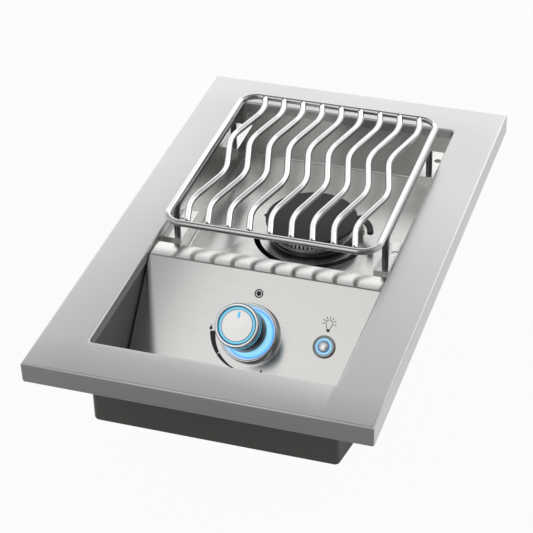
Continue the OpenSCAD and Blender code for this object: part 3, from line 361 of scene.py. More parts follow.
flange_steel = brushed_stainless("stainless_brushed_flange", "#CBCBCA", 0.30, 0.06)
out_x, out_y = 0.160, 0.264
in_x, in_y = 0.114, 0.218
open_r, fold_r, flange_sheet = 0.0035, 0.002, 0.0012
lip_depth, skirt_depth = 0.010, 0.020
corner_gap, tip_chamfer = 0.0006, 0.0014
near = 0.001


def is_fold(edge):
    """Whether two faces meet at an edge as at a fold."""
    return len(edge.link_faces) == 2 and edge.calc_face_angle(0.0) > math.radians(60)


bm = bmesh.new()
bmesh.ops.create_grid(bm, x_segments=3, y_segments=3, size=1.0, matrix=Matrix.Translation((0, 0, top)))
for v in bm.verts:
    v.co.x = math.copysign(out_x if abs(v.co.x) > 0.9 else in_x, v.co.x)
    v.co.y = math.copysign(out_y if abs(v.co.y) > 0.9 else in_y, v.co.y)
bmesh.ops.delete(bm, geom=[f for f in bm.faces if f.calc_center_median().xy.length < near], context="FACES")
for limit_x, limit_y, drop in ((in_x, in_y, lip_depth), (out_x, out_y, skirt_depth)):
    rim = [e for e in bm.edges if e.is_boundary and e.verts[0].co.z > top - hair
           and all(abs(v.co.x) < limit_x + near and abs(v.co.y) < limit_y + near for v in e.verts)]
    down = bmesh.ops.extrude_edge_only(bm, edges=rim)["geom"]
    bmesh.ops.translate(bm, verts=vertices_in(down), vec=(0, 0, -drop))
bmesh.ops.recalc_face_normals(bm, faces=bm.faces)
corners = [e for e in bm.edges if rise(e) > lip_depth / 2
           and abs(e.verts[0].co.x) < in_x + near and abs(e.verts[0].co.y) < in_y + near]
round_off(bm, corners, open_r, 6)
folds = [e for e in bm.edges if is_fold(e) and min(v.co.z for v in e.verts) > top - hair]
round_off(bm, folds, fold_r, 5, clamp_overlap=False)
bmesh.ops.split_edges(bm, edges=[e for e in bm.edges if is_fold(e) and rise(e) > skirt_depth / 2])
# The skirt's corners are folded and not welded: each side meets the next at a narrow gap, with a clipped tip.
for v in bm.verts:
    if (v.is_boundary and abs(v.co.x) > out_x - 10 * hair and abs(v.co.y) > out_y - 10 * hair
            and v.co.z < top - 0.75 * skirt_depth):
        span = max(v.link_edges, key=lambda e: e.calc_length()).other_vert(v).co - v.co
        if abs(span.x) > abs(span.y):
            v.co.x -= math.copysign(corner_gap, v.co.x)
        else:
            v.co.y -= math.copysign(corner_gap, v.co.y)
tip_reach = corner_gap + 0.0002
tips = [v for v in bm.verts if v.co.z < top - skirt_depth + 0.0001 and abs(v.co.x) > out_x - tip_reach
        and abs(v.co.y) > out_y - tip_reach]
bmesh.ops.bevel(bm, geom=tips, offset=tip_chamfer, segments=3, profile=0.5, affect="VERTICES", material=-1)
bmesh.ops.solidify(bm, geom=bm.faces[:], thickness=flange_sheet)
make_piece(bm, "flange_sheet", flange_steel, "root", ["top_frame"])

# The well is a folded tray of stainless sheet, 0.9 mm thick, brushed along X. Its colour is painted brighter
# than the flange's, painted light against the shade of the grate above it. It carries the burner and mirrors
# it as soft upright streaks.
well_steel_painted_bright = brushed_stainless("stainless_well_painted_bright", "#DCDBD9", 0.23, 0.04, 0.02, 0.8)
tray_x = 0.114
tray_front, tray_back = -0.0473, 0.218
tray_floor, tray_rim = top - 0.064, top - 0.0103
tray_sheet, tray_bend = 0.0009, 0.0018
bm = bmesh.new()
bmesh.ops.create_cube(bm, size=1.0)
for v in bm.verts:
    v.co.x = math.copysign(tray_x, v.co.x)
    v.co.y = tray_back if v.co.y > 0 else tray_front
    v.co.z = tray_rim if v.co.z > 0 else tray_floor
bmesh.ops.delete(bm, geom=[f for f in bm.faces if f.normal.z > 0.9], context="FACES")
round_off(bm, [e for e in bm.edges if len(e.link_faces) == 2 and is_upright(e)], open_r, 6)
bends = [e for e in bm.edges if len(e.link_faces) == 2
         and max(v.co.z for v in e.verts) < tray_floor + 10 * hair]
round_off(bm, bends, tray_bend, 4)
bmesh.ops.solidify(bm, geom=bm.faces[:], thickness=-tray_sheet)
tray = make_piece(bm, "burner_tray_sheet", well_steel_painted_bright, "root", ["burner_tray"])

# Air reaches the flame through two curved slots of 6 mm round the burner, punched with the holes for the
# burner's neck, its two screws and the igniter.
burner_y = 0.086
slot_in, slot_out = 0.053, 0.059
neck_hole_r, screw_hole_r, screw_x, igniter_hole_r = 0.0143, 0.00205, 0.024, 0.0033
igniter_out, igniter_turn = 0.0496, math.radians(24)
bm = bmesh.new()
for start, turn in ((60, 70), (194, 150)):
    first = [bm.verts.new((r * math.cos(math.radians(start)), burner_y + r * math.sin(math.radians(start)),
                           tray_floor - punch_reach)) for r in (slot_in, slot_out)]
    bmesh.ops.spin(bm, geom=first + [bm.edges.new(first)], cent=(0, burner_y, 0), axis=(0, 0, 1),
                   dvec=(0, 0, 0), angle=math.radians(turn), steps=turn // 3, use_merge=False,
                   use_duplicate=False)
for x, y, r in ((0, 0, neck_hole_r), (screw_x, 0, screw_hole_r), (-screw_x, 0, screw_hole_r),
                (igniter_out * math.cos(igniter_turn), igniter_out * math.sin(igniter_turn), igniter_hole_r)):
    bmesh.ops.create_circle(bm, cap_ends=True, radius=r, segments=40,
                            matrix=Matrix.Translation((x, burner_y + y, tray_floor - punch_reach)))
push_through(bm, (0, 0, 2 * punch_reach))
punch_out(tray, bm)

# Four shelves of bright sheet are spot welded to the well's side walls. The grate's feet stand on them. The
# two channels under the well, of zinc-plated steel, span the housing and carry it.


def dress(material, *names):
    """Gives carried-over nodes their finish."""
    for name in names:
        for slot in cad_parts[name].material_slots:
            slot.material = material


def fine_finish(name, colour, metallic, roughness, scale, detail, tones=None, glow=None, polish=None,
                relief=None, kind="ShaderNodeTexNoise", **sockets):
    """A finish with one fine pattern, which varies its tone and glow, its roughness or its relief."""
    material, tree, shader = new_finish(name, colour, metallic, roughness, **sockets)
    where = add(tree, "ShaderNodeTexCoord")
    pattern = add(tree, kind, {"Vector": where.outputs["Object"], "Scale": scale, "Detail": detail}).outputs[0]
    if tones:
        tint = add(tree, "ShaderNodeMix", {0: pattern, 6: linear(tones[0]), 7: linear(tones[1])},
                   data_type="RGBA")
        tree.links.new(tint.outputs[2], shader.inputs["Base Color"])
        if glow:
            tree.links.new(tint.outputs[2], shader.inputs["Emission Color"])
            shader.inputs["Emission Strength"].default_value = glow
    if polish:
        rough = add(tree, "ShaderNodeMapRange", {"Value": pattern, "To Min": polish[0], "To Max": polish[1]})
        tree.links.new(rough.outputs[0], shader.inputs["Roughness"])
    if relief:
        bump = add(tree, "ShaderNodeBump", {"Height": pattern, "Strength": relief[0], "Distance": relief[1]})
        tree.links.new(bump.outputs[0], shader.inputs["Normal"])
    return material


# Zinc plate: a bluish grey coat with spangles of about 6 mm that differ in sheen.
zinc_plate = fine_finish("zinc_plated_steel", "#BFC1C2", 1.0, 0.34, 160.0, 0.0, polish=(0.28, 0.42),
                         kind="ShaderNodeTexVoronoi")
dress(zinc_plate, "tray_rails")
dress(well_steel_painted_bright, "grate_bracket_front_left", "grate_bracket_front_right", "grate_bracket_rear_left",
      "grate_bracket_rear_right")

# The control panel is one bent stainless sheet: a flange behind, a level strip, the slope with the knob and
# the button, and an apron. It is brushed finer than the flange, so the strip mirrors the rods above it.
panel_steel = brushed_stainless("stainless_brushed_panel", "#D3D2D0", 0.17, 0.06, 0.015)
panel_x, panel_sheet, panel_bend = 0.1132, 0.001, 0.0012
strip_back, strip_front = -0.046, -0.0686
strip_z, strip_turndown = top - 0.0047, 0.014
apron_z, apron_front, apron_turnup = top - 0.085, -0.2182, 0.008
slope_foot = strip_front + (apron_z - strip_z)
bm = bmesh.new()
line = [bm.verts.new((-panel_x, y, z)) for y, z in (
    (strip_back, strip_z - strip_turndown), (strip_back, strip_z), (strip_front, strip_z),
    (slope_foot, apron_z), (apron_front, apron_z), (apron_front, apron_z + apron_turnup))]
edges = [bm.edges.new(pair) for pair in zip(line, line[1:])]
wide = bmesh.ops.extrude_edge_only(bm, edges=edges)["geom"]
bmesh.ops.translate(bm, verts=vertices_in(wide), vec=(2 * panel_x, 0, 0))
bmesh.ops.recalc_face_normals(bm, faces=bm.faces)
if max(bm.faces, key=lambda f: f.calc_area()).normal.z < 0:
    bmesh.ops.reverse_faces(bm, faces=bm.faces)
round_off(bm, [e for e in bm.edges if len(e.link_faces) == 2], panel_bend, 4)
bmesh.ops.solidify(bm, geom=bm.faces[:], thickness=panel_sheet)
make_piece(bm, "control_panel_sheet", panel_steel, "root", ["control_panel"], crease=50)

# The marks on the panel are screen printed in a dark ink: a ring and dot for off above the knob, a dial that
# narrows towards low, two flames, and a lamp above the button. The ink lies thin and is a little uneven.
ink = fine_finish("screen_print_ink", "#2C2D2F", 0.0, 0.45, 500.0, 1.0, tones=("#262729", "#333436"))
ink_depth, ink_lift = 0.00006, 0.00002


def panel_place(across, down):
    """The frame on the slope at a place: x right, y up the slope, z off the panel."""
    drop = down * math.sqrt(0.5)
    spot = Matrix.Translation((across, strip_front - drop, strip_z - drop))
    return spot @ Matrix.Rotation(math.pi / 4, 4, "X")


def ring_strip(bm, inner, outer, start, turn, steps, narrow=None):
    """A flat arc about the origin, spun from one edge. Its inner radius may be a function of the share run."""
    first = [bm.verts.new((r * math.cos(start), r * math.sin(start), 0)) for r in (inner, outer)]
    edge = bm.edges.new(first)
    bmesh.ops.spin(bm, geom=first + [edge], cent=(0, 0, 0), axis=(0, 0, 1), dvec=(0, 0, 0), angle=turn,
                   steps=steps, use_merge=abs(turn) >= 2 * math.pi, use_duplicate=False)
    if narrow:
        for v in bm.verts:
            r = v.co.xy.length
            if abs(r - inner) < hair:
                share = ((math.atan2(v.co.y, v.co.x) - start) / turn) % (2 * math.pi / abs(turn))
                v.co.xy *= narrow(min(1.0, max(0.0, share))) / r


def bar_strip(bm, a, b, width):
    """A flat bar from one place to another."""
    a, b = Vector(a), Vector(b)
    side = (b - a).normalized().orthogonal() * width / 2
    bm.faces.new([bm.verts.new((*p, 0)) for p in (a - side, b - side, b + side, a + side)])


def face_up(bm):
    """Turns flat faces so that all of them look up."""
    for face in bm.faces:
        if face.normal.z < 0:
            face.normal_flip()


def print_mark(bm, name, place):
    """Gives a flat mark the thickness of ink and lays it on the panel."""
    bmesh.ops.remove_doubles(bm, verts=bm.verts, dist=hair)
    bmesh.ops.recalc_face_normals(bm, faces=bm.faces)
    face_up(bm)
    bmesh.ops.solidify(bm, geom=bm.faces[:], thickness=-ink_depth)
    bmesh.ops.transform(bm, matrix=place @ Matrix.Translation((0, 0, ink_lift)), verts=bm.verts)
    make_piece(bm, name, ink, "root")


off_down, off_dot_r, off_ring_in, off_ring_out = 0.0207, 0.0024, 0.0031, 0.00425
bm = bmesh.new()
ring_strip(bm, off_ring_in, off_ring_out, 0, 2 * math.pi, 40)
print_mark(bm, "mark_off_ring", panel_place(0, off_down))
bm = bmesh.new()
bmesh.ops.create_circle(bm, cap_ends=True, radius=off_dot_r, segments=32)
print_mark(bm, "mark_off_dot", panel_place(0, off_down))

dial_out, dial_band, dial_wide, dial_thin, dial_down = 0.0397, 0.005, 0.0054, 0.0001, 0.0558
arc_start, arc_turn = math.radians(190), math.radians(85)
for k, (a, b) in enumerate(((0.0, 0.397), (0.403, 0.697), (0.703, 1.0))):
    bm = bmesh.new()
    ring_strip(bm, dial_out - dial_band, dial_out, arc_start + a * arc_turn, (b - a) * arc_turn, 16,
               narrow=lambda t, a=a, b=b: dial_out - dial_wide * (1 - (a + (b - a) * t)) - dial_thin)
    print_mark(bm, "mark_dial_%d" % k, panel_place(0, dial_down))

belly_share, pinch_share, tip_share = 0.3, 0.75, 0.45


def flame(bm, high):
    """A drop with a pointed tip."""
    belly = high * belly_share
    for v in bmesh.ops.create_circle(bm, cap_ends=True, radius=belly, segments=20)["verts"]:
        lift = max(0.0, v.co.y / belly)
        v.co.x *= 1 - pinch_share * lift
        v.co.y += lift * lift * high * tip_share


for name, high, across, down in (("mark_flame_high", 0.0052, -0.0388, 0.0600),
                                 ("mark_flame_low", 0.0032, 0.0168, 0.0920)):
    bm = bmesh.new()
    flame(bm, high)
    print_mark(bm, name, panel_place(across, down))

lamp_across, lamp_down = 0.0716, 0.0373
bulb_in, bulb_out, bulb_open = 0.0030, 0.0036, math.radians(38)
socket_top, socket_foot, socket_wide = 0.0054, 0.0080, 0.0030
neck_half, neck_low, line_wide = 0.0013, 0.0056, 0.0006
ray_in, ray_out, ray_wide, ray_count = 0.0046, 0.0068, 0.0007, 7
ray_start, ray_step = math.radians(-6), math.radians(32)
bm = bmesh.new()
ring_strip(bm, bulb_in, bulb_out, -bulb_open, math.pi + 2 * bulb_open, 28)
bulb_r = (bulb_in + bulb_out) / 2
for s in (-1, 1):
    start = Vector((s * bulb_r * math.cos(bulb_open), -bulb_r * math.sin(bulb_open)))
    bar_strip(bm, start, (s * neck_half, -neck_low), line_wide)
bar_strip(bm, (0, -socket_top), (0, -socket_foot), socket_wide)
for k in range(ray_count):
    ray = Vector((math.cos(ray_start + k * ray_step), math.sin(ray_start + k * ray_step)))
    bar_strip(bm, ray * ray_in, ray * ray_out, ray_wide)
print_mark(bm, "mark_lamp", panel_place(lamp_across, lamp_down))

# The burner stands in a shallow bowl of black glass enamel. Its ribbed head is cast aluminium, left bright,
# and its loose cap is cast iron in a matte grey enamel. Turned parts are spun from half their outline.


def turned(outline, place=Matrix.Identity(4), steps=96):
    """A solid of revolution from (radius, height) points, its poles and seam closed."""
    bm = bmesh.new()
    points = [bm.verts.new((r, 0, z)) for r, z in outline]
    loop = [bm.edges.new(pair) for pair in zip(points, points[1:] + points[:1])]
    bmesh.ops.spin(bm, geom=points + loop, cent=(0, 0, 0), axis=(0, 0, 1), dvec=(0, 0, 0), angle=2 * math.pi,
                   steps=steps, use_merge=True, use_duplicate=False)
    bmesh.ops.remove_doubles(bm, verts=bm.verts, dist=hair)
    bmesh.ops.dissolve_degenerate(bm, edges=bm.edges, dist=hair / 10)
    bmesh.ops.recalc_face_normals(bm, faces=bm.faces)
    bmesh.ops.transform(bm, matrix=place, verts=bm.verts)
    return bm


# Glass enamel: black frit fired onto steel. Deep, glossy, with a slow waviness of about 8 mm.
black_enamel = fine_finish("glass_enamel_black", "#0E0E0F", 0.0, 0.10, 120.0, 1.0, relief=(0.08, 0.0004),
                           Coat_Weight=0.6, Coat_Roughness=0.05)
at_burner = Matrix.Translation((0, burner_y, tray_floor))
bowl_neck_r, bowl_hole_r, bowl_r, bowl_high = 0.014, 0.012, 0.0434, 0.0070
bm = turned([(bowl_hole_r, -0.012), (bowl_neck_r, -0.012), (bowl_neck_r, 0), (0.0390, 0), (0.0420, 0.0012),
             (bowl_r, 0.004), (bowl_r, 0.0065), (0.0432, 0.0069), (0.0428, bowl_high), (0.0414, bowl_high),
             (0.0414, 0.0062), (0.0401, 0.0040), (0.0374, 0.003), (bowl_hole_r, 0.003)], at_burner)
make_piece(bm, "burner_bowl_enamel", black_enamel, "root", ["burner_bowl"])

# Cast aluminium: sand cast and machined. A pale grey metal with a fine grit of about 0.8 mm.
cast_aluminium = fine_finish("cast_aluminium", "#B8B8B6", 1.0, 0.36, 1200.0, 2.0, tones=("#A9A9A7", "#C6C6C4"),
                             relief=(0.15, 0.0002))
dress(cast_aluminium, "mixer_tube", "valve_body")

# The head was turned after casting and keeps fine rings from the tool. Its colour is painted brighter than the
# cast metal, painted light against the shade under the cap. The rings are drawn 0.9 mm apart, coarser than
# they are, so that they show.
turned_aluminium_painted_bright, tree, shader = new_finish("turned_aluminium_painted_bright", "#E0E0DE", 1.0, 0.27)
where = add(tree, "ShaderNodeTexCoord")
rings = add(tree, "ShaderNodeMapping", {"Vector": where.outputs["Object"], "Scale": (40.0, 40.0, 1100.0)})
cutter = add(tree, "ShaderNodeTexNoise", {"Vector": rings.outputs[0], "Scale": 1.0, "Detail": 1.0})
tint = add(tree, "ShaderNodeMix", {0: cutter.outputs["Fac"], 6: linear("#D4D4D2"), 7: linear("#EBEBE9")},
           data_type="RGBA")
tree.links.new(tint.outputs[2], shader.inputs["Base Color"])
dress(turned_aluminium_painted_bright, "burner_head")
dress(zinc_plate, "burner_screws", "air_shutter", "valve_screws")

# Matte enamel on cast iron: dark grey with the pebbled skin of a sand casting, about 1 mm across.
matte_enamel = fine_finish("matte_enamel_cast_iron", "#474747", 0.0, 0.62, 900.0, 3.0,
                           tones=("#424242", "#4B4B4B"), relief=(0.12, 0.0002))
cap_depth, cap_thick, cap_r = 0.046, 0.004, 0.0463
spigot_in, spigot_out, spigot_deep = 0.0356, 0.0381, 0.005
cap_z = top - cap_depth - tray_floor
bm = turned([(0, cap_z), (spigot_in, cap_z), (spigot_in, cap_z - spigot_deep),
             (spigot_out, cap_z - spigot_deep), (spigot_out, cap_z), (0.0451, cap_z), (0.0459, cap_z + 0.0004),
             (cap_r, cap_z + 0.0012), (cap_r, cap_z + 0.0028), (0.0460, cap_z + 0.0036),
             (0.0451, cap_z + cap_thick), (0, cap_z + cap_thick)], at_burner)
ear_r, ear_thick, ear_turn = 0.002, 0.0012, math.radians(8)
on_rim = Matrix.Rotation(ear_turn, 4, "Z") @ Matrix.Translation((-cap_r, 0, cap_z + cap_thick / 2))
bmesh.ops.create_cone(bm, cap_ends=True, segments=16, radius1=ear_r, radius2=ear_r, depth=ear_thick,
                      matrix=at_burner @ on_rim)
make_piece(bm, "burner_cap_enamel", matte_enamel, "cap", ["burner_cap"])

# The igniter is a white ceramic rod that stands in the tray floor, with a black arm on it that reaches round
# the burner and carries the spark. The ceramic is glazed: smooth, glossy and slightly uneven in tone.
ceramic = fine_finish("glazed_ceramic", "#E9E6DE", 0.0, 0.25, 260.0, 1.0, tones=("#E2DED4", "#F0EDE6"),
                      Coat_Weight=0.3)
dress(ceramic, "igniter_electrode")
# The arm has a heat-proof black coat: matt, with a faintly uneven sheen.
arm_coat = fine_finish("heat_proof_black", "#1E1E1F", 0.0, 0.5, 700.0, 1.0, polish=(0.42, 0.58))
dress(arm_coat, "igniter_arm")

# The gas line is made of brass pieces, turned and left bare, with tarnish in soft clouds of about 11 mm, and
# of an aluminium pipe bent to run from the inlet to the valve.
brass = fine_finish("turned_brass", "#C9A75A", 1.0, 0.26, 90.0, 2.0, tones=("#B8944A", "#D2B268"))
dress(brass, "gas_orifice", "inlet_fitting", "inlet_locknut", "valve_rotor")
dress(cast_aluminium, "gas_pipe")
dress(zinc_plate, "valve_stem")

# The knob turns on the valve's stem, square to the slope. Round its foot is a chromed bezel with a lamp board
# and a clear blue dish that spreads the light.
knob_down = 0.0595
knob_place = panel_place(0, knob_down)

# Chrome plate: a mirror with a trace of haze.
chrome = fine_finish("chrome_plate", "#E6E7E8", 1.0, 0.06, 60.0, 2.0, polish=(0.03, 0.09))
bezel_in, bezel_out = 0.0233, 0.0285
bm = turned([(bezel_in, 0), (bezel_out, 0), (0.02845, 0.0008), (0.0277, 0.0092), (0.0275, 0.0099),
             (0.0271, 0.0104), (0.0266, 0.0105), (0.0260, 0.0103), (0.0256, 0.0097), (bezel_in, 0.0025)],
            knob_place)
make_piece(bm, "knob_bezel_chrome", chrome, "root", ["knob_bezel"])

# A white liner inside the bezel throws the light up. Moulded ABS: smooth, with a faintly uneven sheen. It is
# given a faint glow of its own, painted light that keeps it white in the shade of the bezel.
liner_painted_glow = fine_finish("abs_white_painted_glow", "#F2F3F4", 0.0, 0.35, 180.0, 1.0, polish=(0.30, 0.42),
                          Emission_Color=linear("#EAF4FA"), Emission_Strength=0.35)
bm = turned([(0.02325, 0.0030), (0.02345, 0.0030), (0.02575, 0.0098), (0.02535, 0.0098)], knob_place)
make_piece(bm, "knob_bezel_liner", liner_painted_glow, "root")


def lit_acrylic(name, middle, reach, stops, strength):
    """Acrylic whose colour runs outward from a middle, by (share of the reach, colour) stops."""
    material, tree, shader = new_finish(name, stops[0][1], 0.0, 0.22, Coat_Weight=0.4)
    where = add(tree, "ShaderNodeTexCoord")
    off = add(tree, "ShaderNodeVectorMath", {0: where.outputs["Object"], 1: middle}, operation="SUBTRACT")
    out = add(tree, "ShaderNodeVectorMath", {0: off.outputs[0]}, operation="LENGTH")
    share = add(tree, "ShaderNodeMapRange", {"Value": out.outputs["Value"], "From Max": reach})
    band = add(tree, "ShaderNodeValToRGB", {0: share.outputs[0]})
    marks = band.color_ramp.elements
    for k, (spot, colour) in enumerate(stops):
        mark = marks[k] if k < 2 else marks.new(spot)
        mark.position = spot
        mark.color = linear(colour)
    tree.links.new(band.outputs["Color"], shader.inputs["Emission Color"])
    tree.links.new(band.outputs["Color"], shader.inputs["Base Color"])
    shader.inputs["Emission Strength"].default_value = strength
    return material


# Lit acrylic: the lamps behind it leave the middle of each band pale and its edges deep. In the dish, the deep
# blue toward the middle, under the knob, is painted shade of the knob.
lit_dish = lit_acrylic("acrylic_lit_blue", knob_place @ Vector((0, 0, 0.005)), 0.0235, (
    (0.34, "#0A45B4"), (1.0, "#2468D2"), (0.52, "#1B83E6"), (0.64, "#6ED0F7"), (0.84, "#A9E6FB"),
    (0.94, "#74C8F4")), 0.75)
dish_out, dish_in = 0.0231, 0.0080
bm = turned([(dish_out, 0.0014), (dish_out, 0.0039), (0.0222, 0.0045), (0.0188, 0.0060), (0.0140, 0.0074),
             (0.0110, 0.0078), (dish_in, 0.0080), (dish_in, 0.0066), (0.0140, 0.0060), (0.0188, 0.0046),
             (0.0217, 0.0031), (0.0217, 0.0014)], knob_place)
make_piece(bm, "knob_light_dish", lit_dish, "root", ["knob_light_ring"])

# Circuit board: glass and epoxy under a green solder mask, mottled by the weave beneath.
board = fine_finish("circuit_board", "#1F5B3A", 0.0, 0.35, 400.0, 0.0, tones=("#184A2F", "#2A7048"),
                    kind="ShaderNodeTexVoronoi")
dress(board, "knob_led_board")

# The knob is a gloss black moulding with a thin lit line round it, a polished ring pressed on its end, a lit
# halo inside the ring and a brushed steel face with a plain pointer.
gloss_black = fine_finish("abs_gloss_black", "#0A0B0C", 0.0, 0.12, 150.0, 1.0, polish=(0.08, 0.18),
                          Specular_IOR_Level=0.1)
low, high = 0.021, 0.0476
knob_r, stem_r, hub_r, shell_in, seat_r = 0.0205, 0.00405, 0.008, 0.018, 0.01754
line_share, line_high, line_deep = 0.84, 0.0012, 0.0195
line_z = low + line_share * (high - low)
seat_high = 0.0014
face_z = high + seat_high
bm = turned([(stem_r, high - 0.018), (hub_r, high - 0.018), (hub_r, high - 0.004), (shell_in, high - 0.004),
             (shell_in, low + 0.0004), (0.0184, low), (0.0199, low), (knob_r, low + 0.0006), (knob_r, line_z),
             (line_deep, line_z), (line_deep, line_z + line_high), (knob_r, line_z + line_high),
             (knob_r, high - 0.0002), (0.0203, high), (seat_r, high), (seat_r, face_z), (0, face_z),
             (0, high - 0.0039), (stem_r, high - 0.0039)], knob_place)
make_piece(bm, "knob_body_moulding", gloss_black, "knob", ["knob_body"])

# Lit acrylic of the line and the pointer: one cyan, a little uneven in depth.
lit_line = fine_finish("acrylic_lit_cyan", "#55C3EE", 0.0, 0.25, 70.0, 1.0, tones=("#35B4EA", "#7AD6F6"),
                       glow=0.6)
bm = turned([(0.01955, line_z), (0.0208, line_z), (0.0209, line_z + 0.0003), (0.0209, line_z + 0.0009),
             (0.0208, line_z + line_high), (0.01955, line_z + line_high)], knob_place)
make_piece(bm, "knob_lit_line", lit_line, "knob", ["knob_line_ring"])
bm = turned([(0.0151, face_z), (seat_r, face_z), (seat_r, high + 0.0036), (0.0173, high + 0.0038),
             (0.0153, high + 0.0038), (0.0151, high + 0.0036)], knob_place)
lit_halo = lit_acrylic("acrylic_lit_halo", knob_place @ Vector((0, 0, high + 0.0038)), 0.0176, (
    (0.85, "#2C86B0"), (1.0, "#0A222F"), (0.875, "#49C3EC"), (0.905, "#A6E9FB"), (0.94, "#4CC4EC"),
    (0.975, "#12607F")), 0.62)
make_piece(bm, "knob_lit_halo", lit_halo, "knob", ["knob_halo_ring"])
ring_in, ring_out = 0.01774, 0.0208
bm = turned([(ring_in, high), (0.0200, high), (0.0206, high + 0.0004), (ring_out, high + 0.0010),
             (ring_out, high + 0.0040), (0.0206, high + 0.0046), (0.0200, high + 0.0050),
             (0.0185, high + 0.0050), (0.0180, high + 0.0048), (ring_in, high + 0.0044)], knob_place)
make_piece(bm, "knob_cap_chrome", chrome, "knob", ["knob_cap_ring"])

face_steel = brushed_stainless("stainless_brushed_face", "#E6E5E3", 0.26, 0.03)
face_r = 0.0149
bm = turned([(0, face_z), (face_r, face_z), (face_r, high + 0.0037), (0.0147, high + 0.0041),
             (0.0143, high + 0.0042), (0.0120, high + 0.0041), (0.0060, high + 0.0039), (0, high + 0.0038)],
            knob_place)
make_piece(bm, "knob_face_steel", face_steel, "knob", ["knob_face"])
pointer_foot, pointer_tip, pointer_wide, pointer_end_r, pointer_depth = 0.0068, 0.0128, 0.0022, 0.0010, 0.0001
bm = bmesh.new()
bar_strip(bm, (0, pointer_foot), (0, pointer_tip), pointer_wide)
bmesh.ops.bevel(bm, geom=bm.verts[:], offset=pointer_end_r, segments=5, profile=0.5, affect="VERTICES",
                material=-1)
face_up(bm)
bmesh.ops.solidify(bm, geom=bm.faces[:], thickness=-pointer_depth)
bmesh.ops.transform(bm, matrix=knob_place @ Matrix.Translation((0, 0, high + 0.0041)), verts=bm.verts)
make_piece(bm, "knob_pointer", lit_line, "knob")

# The light button is a stainless push switch held through the panel by a nut, with a lit ring round its cap.
# Its bezel was turned and left satin. Its cap was blasted with fine grit, drawn about 0.7 mm coarse to show.
button_across = 0.071
button_place = panel_place(button_across, knob_down)
button_steps = 64
rim_in, rim_out = 0.0086, 0.0106
bm = turned([(rim_in, 0), (rim_out, 0), (rim_out, 0.0014), (0.0104, 0.0019), (0.0099, 0.0022),
             (0.0091, 0.0022), (0.0087, 0.0020), (rim_in, 0.0017)], button_place, button_steps)
satin_bezel = fine_finish("stainless_satin_bezel", "#A3A19F", 1.0, 0.28, 600.0, 1.0, polish=(0.22, 0.34))
make_piece(bm, "button_bezel_satin", satin_bezel, "root", ["button_bezel"])
glow_in, glow_out = 0.0051, 0.0084
bm = turned([(glow_in, 0.0006), (glow_out, 0.0006), (glow_out, 0.0016), (0.0081, 0.0019), (0.0054, 0.0019),
             (glow_in, 0.0017)], button_place, button_steps)
lit_button = lit_acrylic("acrylic_lit_button", button_place @ Vector((0, 0, 0.0018)), 0.0085, (
    (0.60, "#5B8FC8"), (1.0, "#A9BCCB"), (0.66, "#5FB4EC"), (0.76, "#D2F4FD"), (0.86, "#6FC4EE")), 0.6)
make_piece(bm, "button_lit_ring", lit_button, "root", ["button_light_ring"])
satin_steel = fine_finish("stainless_satin_cap", "#EDEDEF", 1.0, 0.24, 1500.0, 1.0, polish=(0.20, 0.28))
cap_foot, button_r, button_high = -0.004, 0.0048, 0.0026
bm = turned([(0, cap_foot), (button_r, cap_foot), (button_r, 0.0020), (0.0046, 0.0024), (0.0042, button_high),
             (0, button_high)], button_place, button_steps)
make_piece(bm, "button_cap_satin", satin_steel, "button", ["button_cap"])
# Black nylon: moulded, matt, with a faintly uneven sheen.
black_nylon = fine_finish("nylon_black", "#1E1E1F", 0.0, 0.5, 700.0, 1.0, polish=(0.42, 0.58))
dress(black_nylon, "button_switch")
dress(zinc_plate, "button_nut")

# The grate is polished stainless rod of 6.35 mm. A round-cornered loop carries nine identical wave rods, each
# welded to its front and back bars, and two bent wires under the side bars are its legs. The polish leaves
# slow clouds in the sheen.
rod_r = 0.003175
rod_z = top + 0.025
loop_x, loop_front, loop_back, corner_r = 0.1038, -0.054, 0.192, 0.018
polished_rod = fine_finish("stainless_polished_rod", "#D0D0D0", 1.0, 0.13, 45.0, 2.0, polish=(0.11, 0.15))


def rod_begin(bm, place, heading):
    """The first ring of a rod, square to its heading."""
    turn = Vector(heading).to_track_quat("Z", "Y").to_matrix().to_4x4()
    made = bmesh.ops.create_circle(bm, cap_ends=False, radius=rod_r, segments=20,
                                   matrix=Matrix.Translation(place) @ turn)
    return list({e for v in made["verts"] for e in v.link_edges})


def rod_straight(bm, ring, step):
    """Pushes the rod's last ring straight on."""
    pushed = bmesh.ops.extrude_edge_only(bm, edges=ring)["geom"]
    ends = set(vertices_in(pushed))
    bmesh.ops.translate(bm, verts=list(ends), vec=step)
    return [g for g in pushed if isinstance(g, bmesh.types.BMEdge) and set(g.verts) <= ends]


def rod_bend(bm, ring, centre, axis, angle, steps):
    """Bends the rod on about an axis."""
    geometry = ring + list({v for e in ring for v in e.verts})
    last = bmesh.ops.spin(bm, geom=geometry, cent=centre, axis=axis, dvec=(0, 0, 0), angle=angle, steps=steps,
                          use_merge=False, use_duplicate=False)["geom_last"]
    return [g for g in last if isinstance(g, bmesh.types.BMEdge)]


def rod_finish(bm, name, body, replaced, finish=polished_rod):
    """Closes the rod's ends and shows it."""
    bmesh.ops.remove_doubles(bm, verts=bm.verts, dist=10 * hair)
    bmesh.ops.holes_fill(bm, edges=[e for e in bm.edges if e.is_boundary], sides=0)
    bmesh.ops.recalc_face_normals(bm, faces=bm.faces)
    make_piece(bm, name, finish, body, replaced, crease=50)


bm = bmesh.new()
ring = rod_begin(bm, (-loop_x + corner_r, loop_front, rod_z), (1, 0, 0))
wide, deep = 2 * (loop_x - corner_r), loop_back - loop_front - 2 * corner_r
for step, x, y in (((wide, 0, 0), 1, loop_front + corner_r), ((0, deep, 0), 1, loop_back - corner_r),
                   ((-wide, 0, 0), -1, loop_back - corner_r), ((0, -deep, 0), -1, loop_front + corner_r)):
    ring = rod_straight(bm, ring, step)
    ring = rod_bend(bm, ring, (x * (loop_x - corner_r), y, rod_z), (0, 0, 1), math.pi / 2, 14)
rod_finish(bm, "grate_loop_rod", "grate", ["grate_loop"])

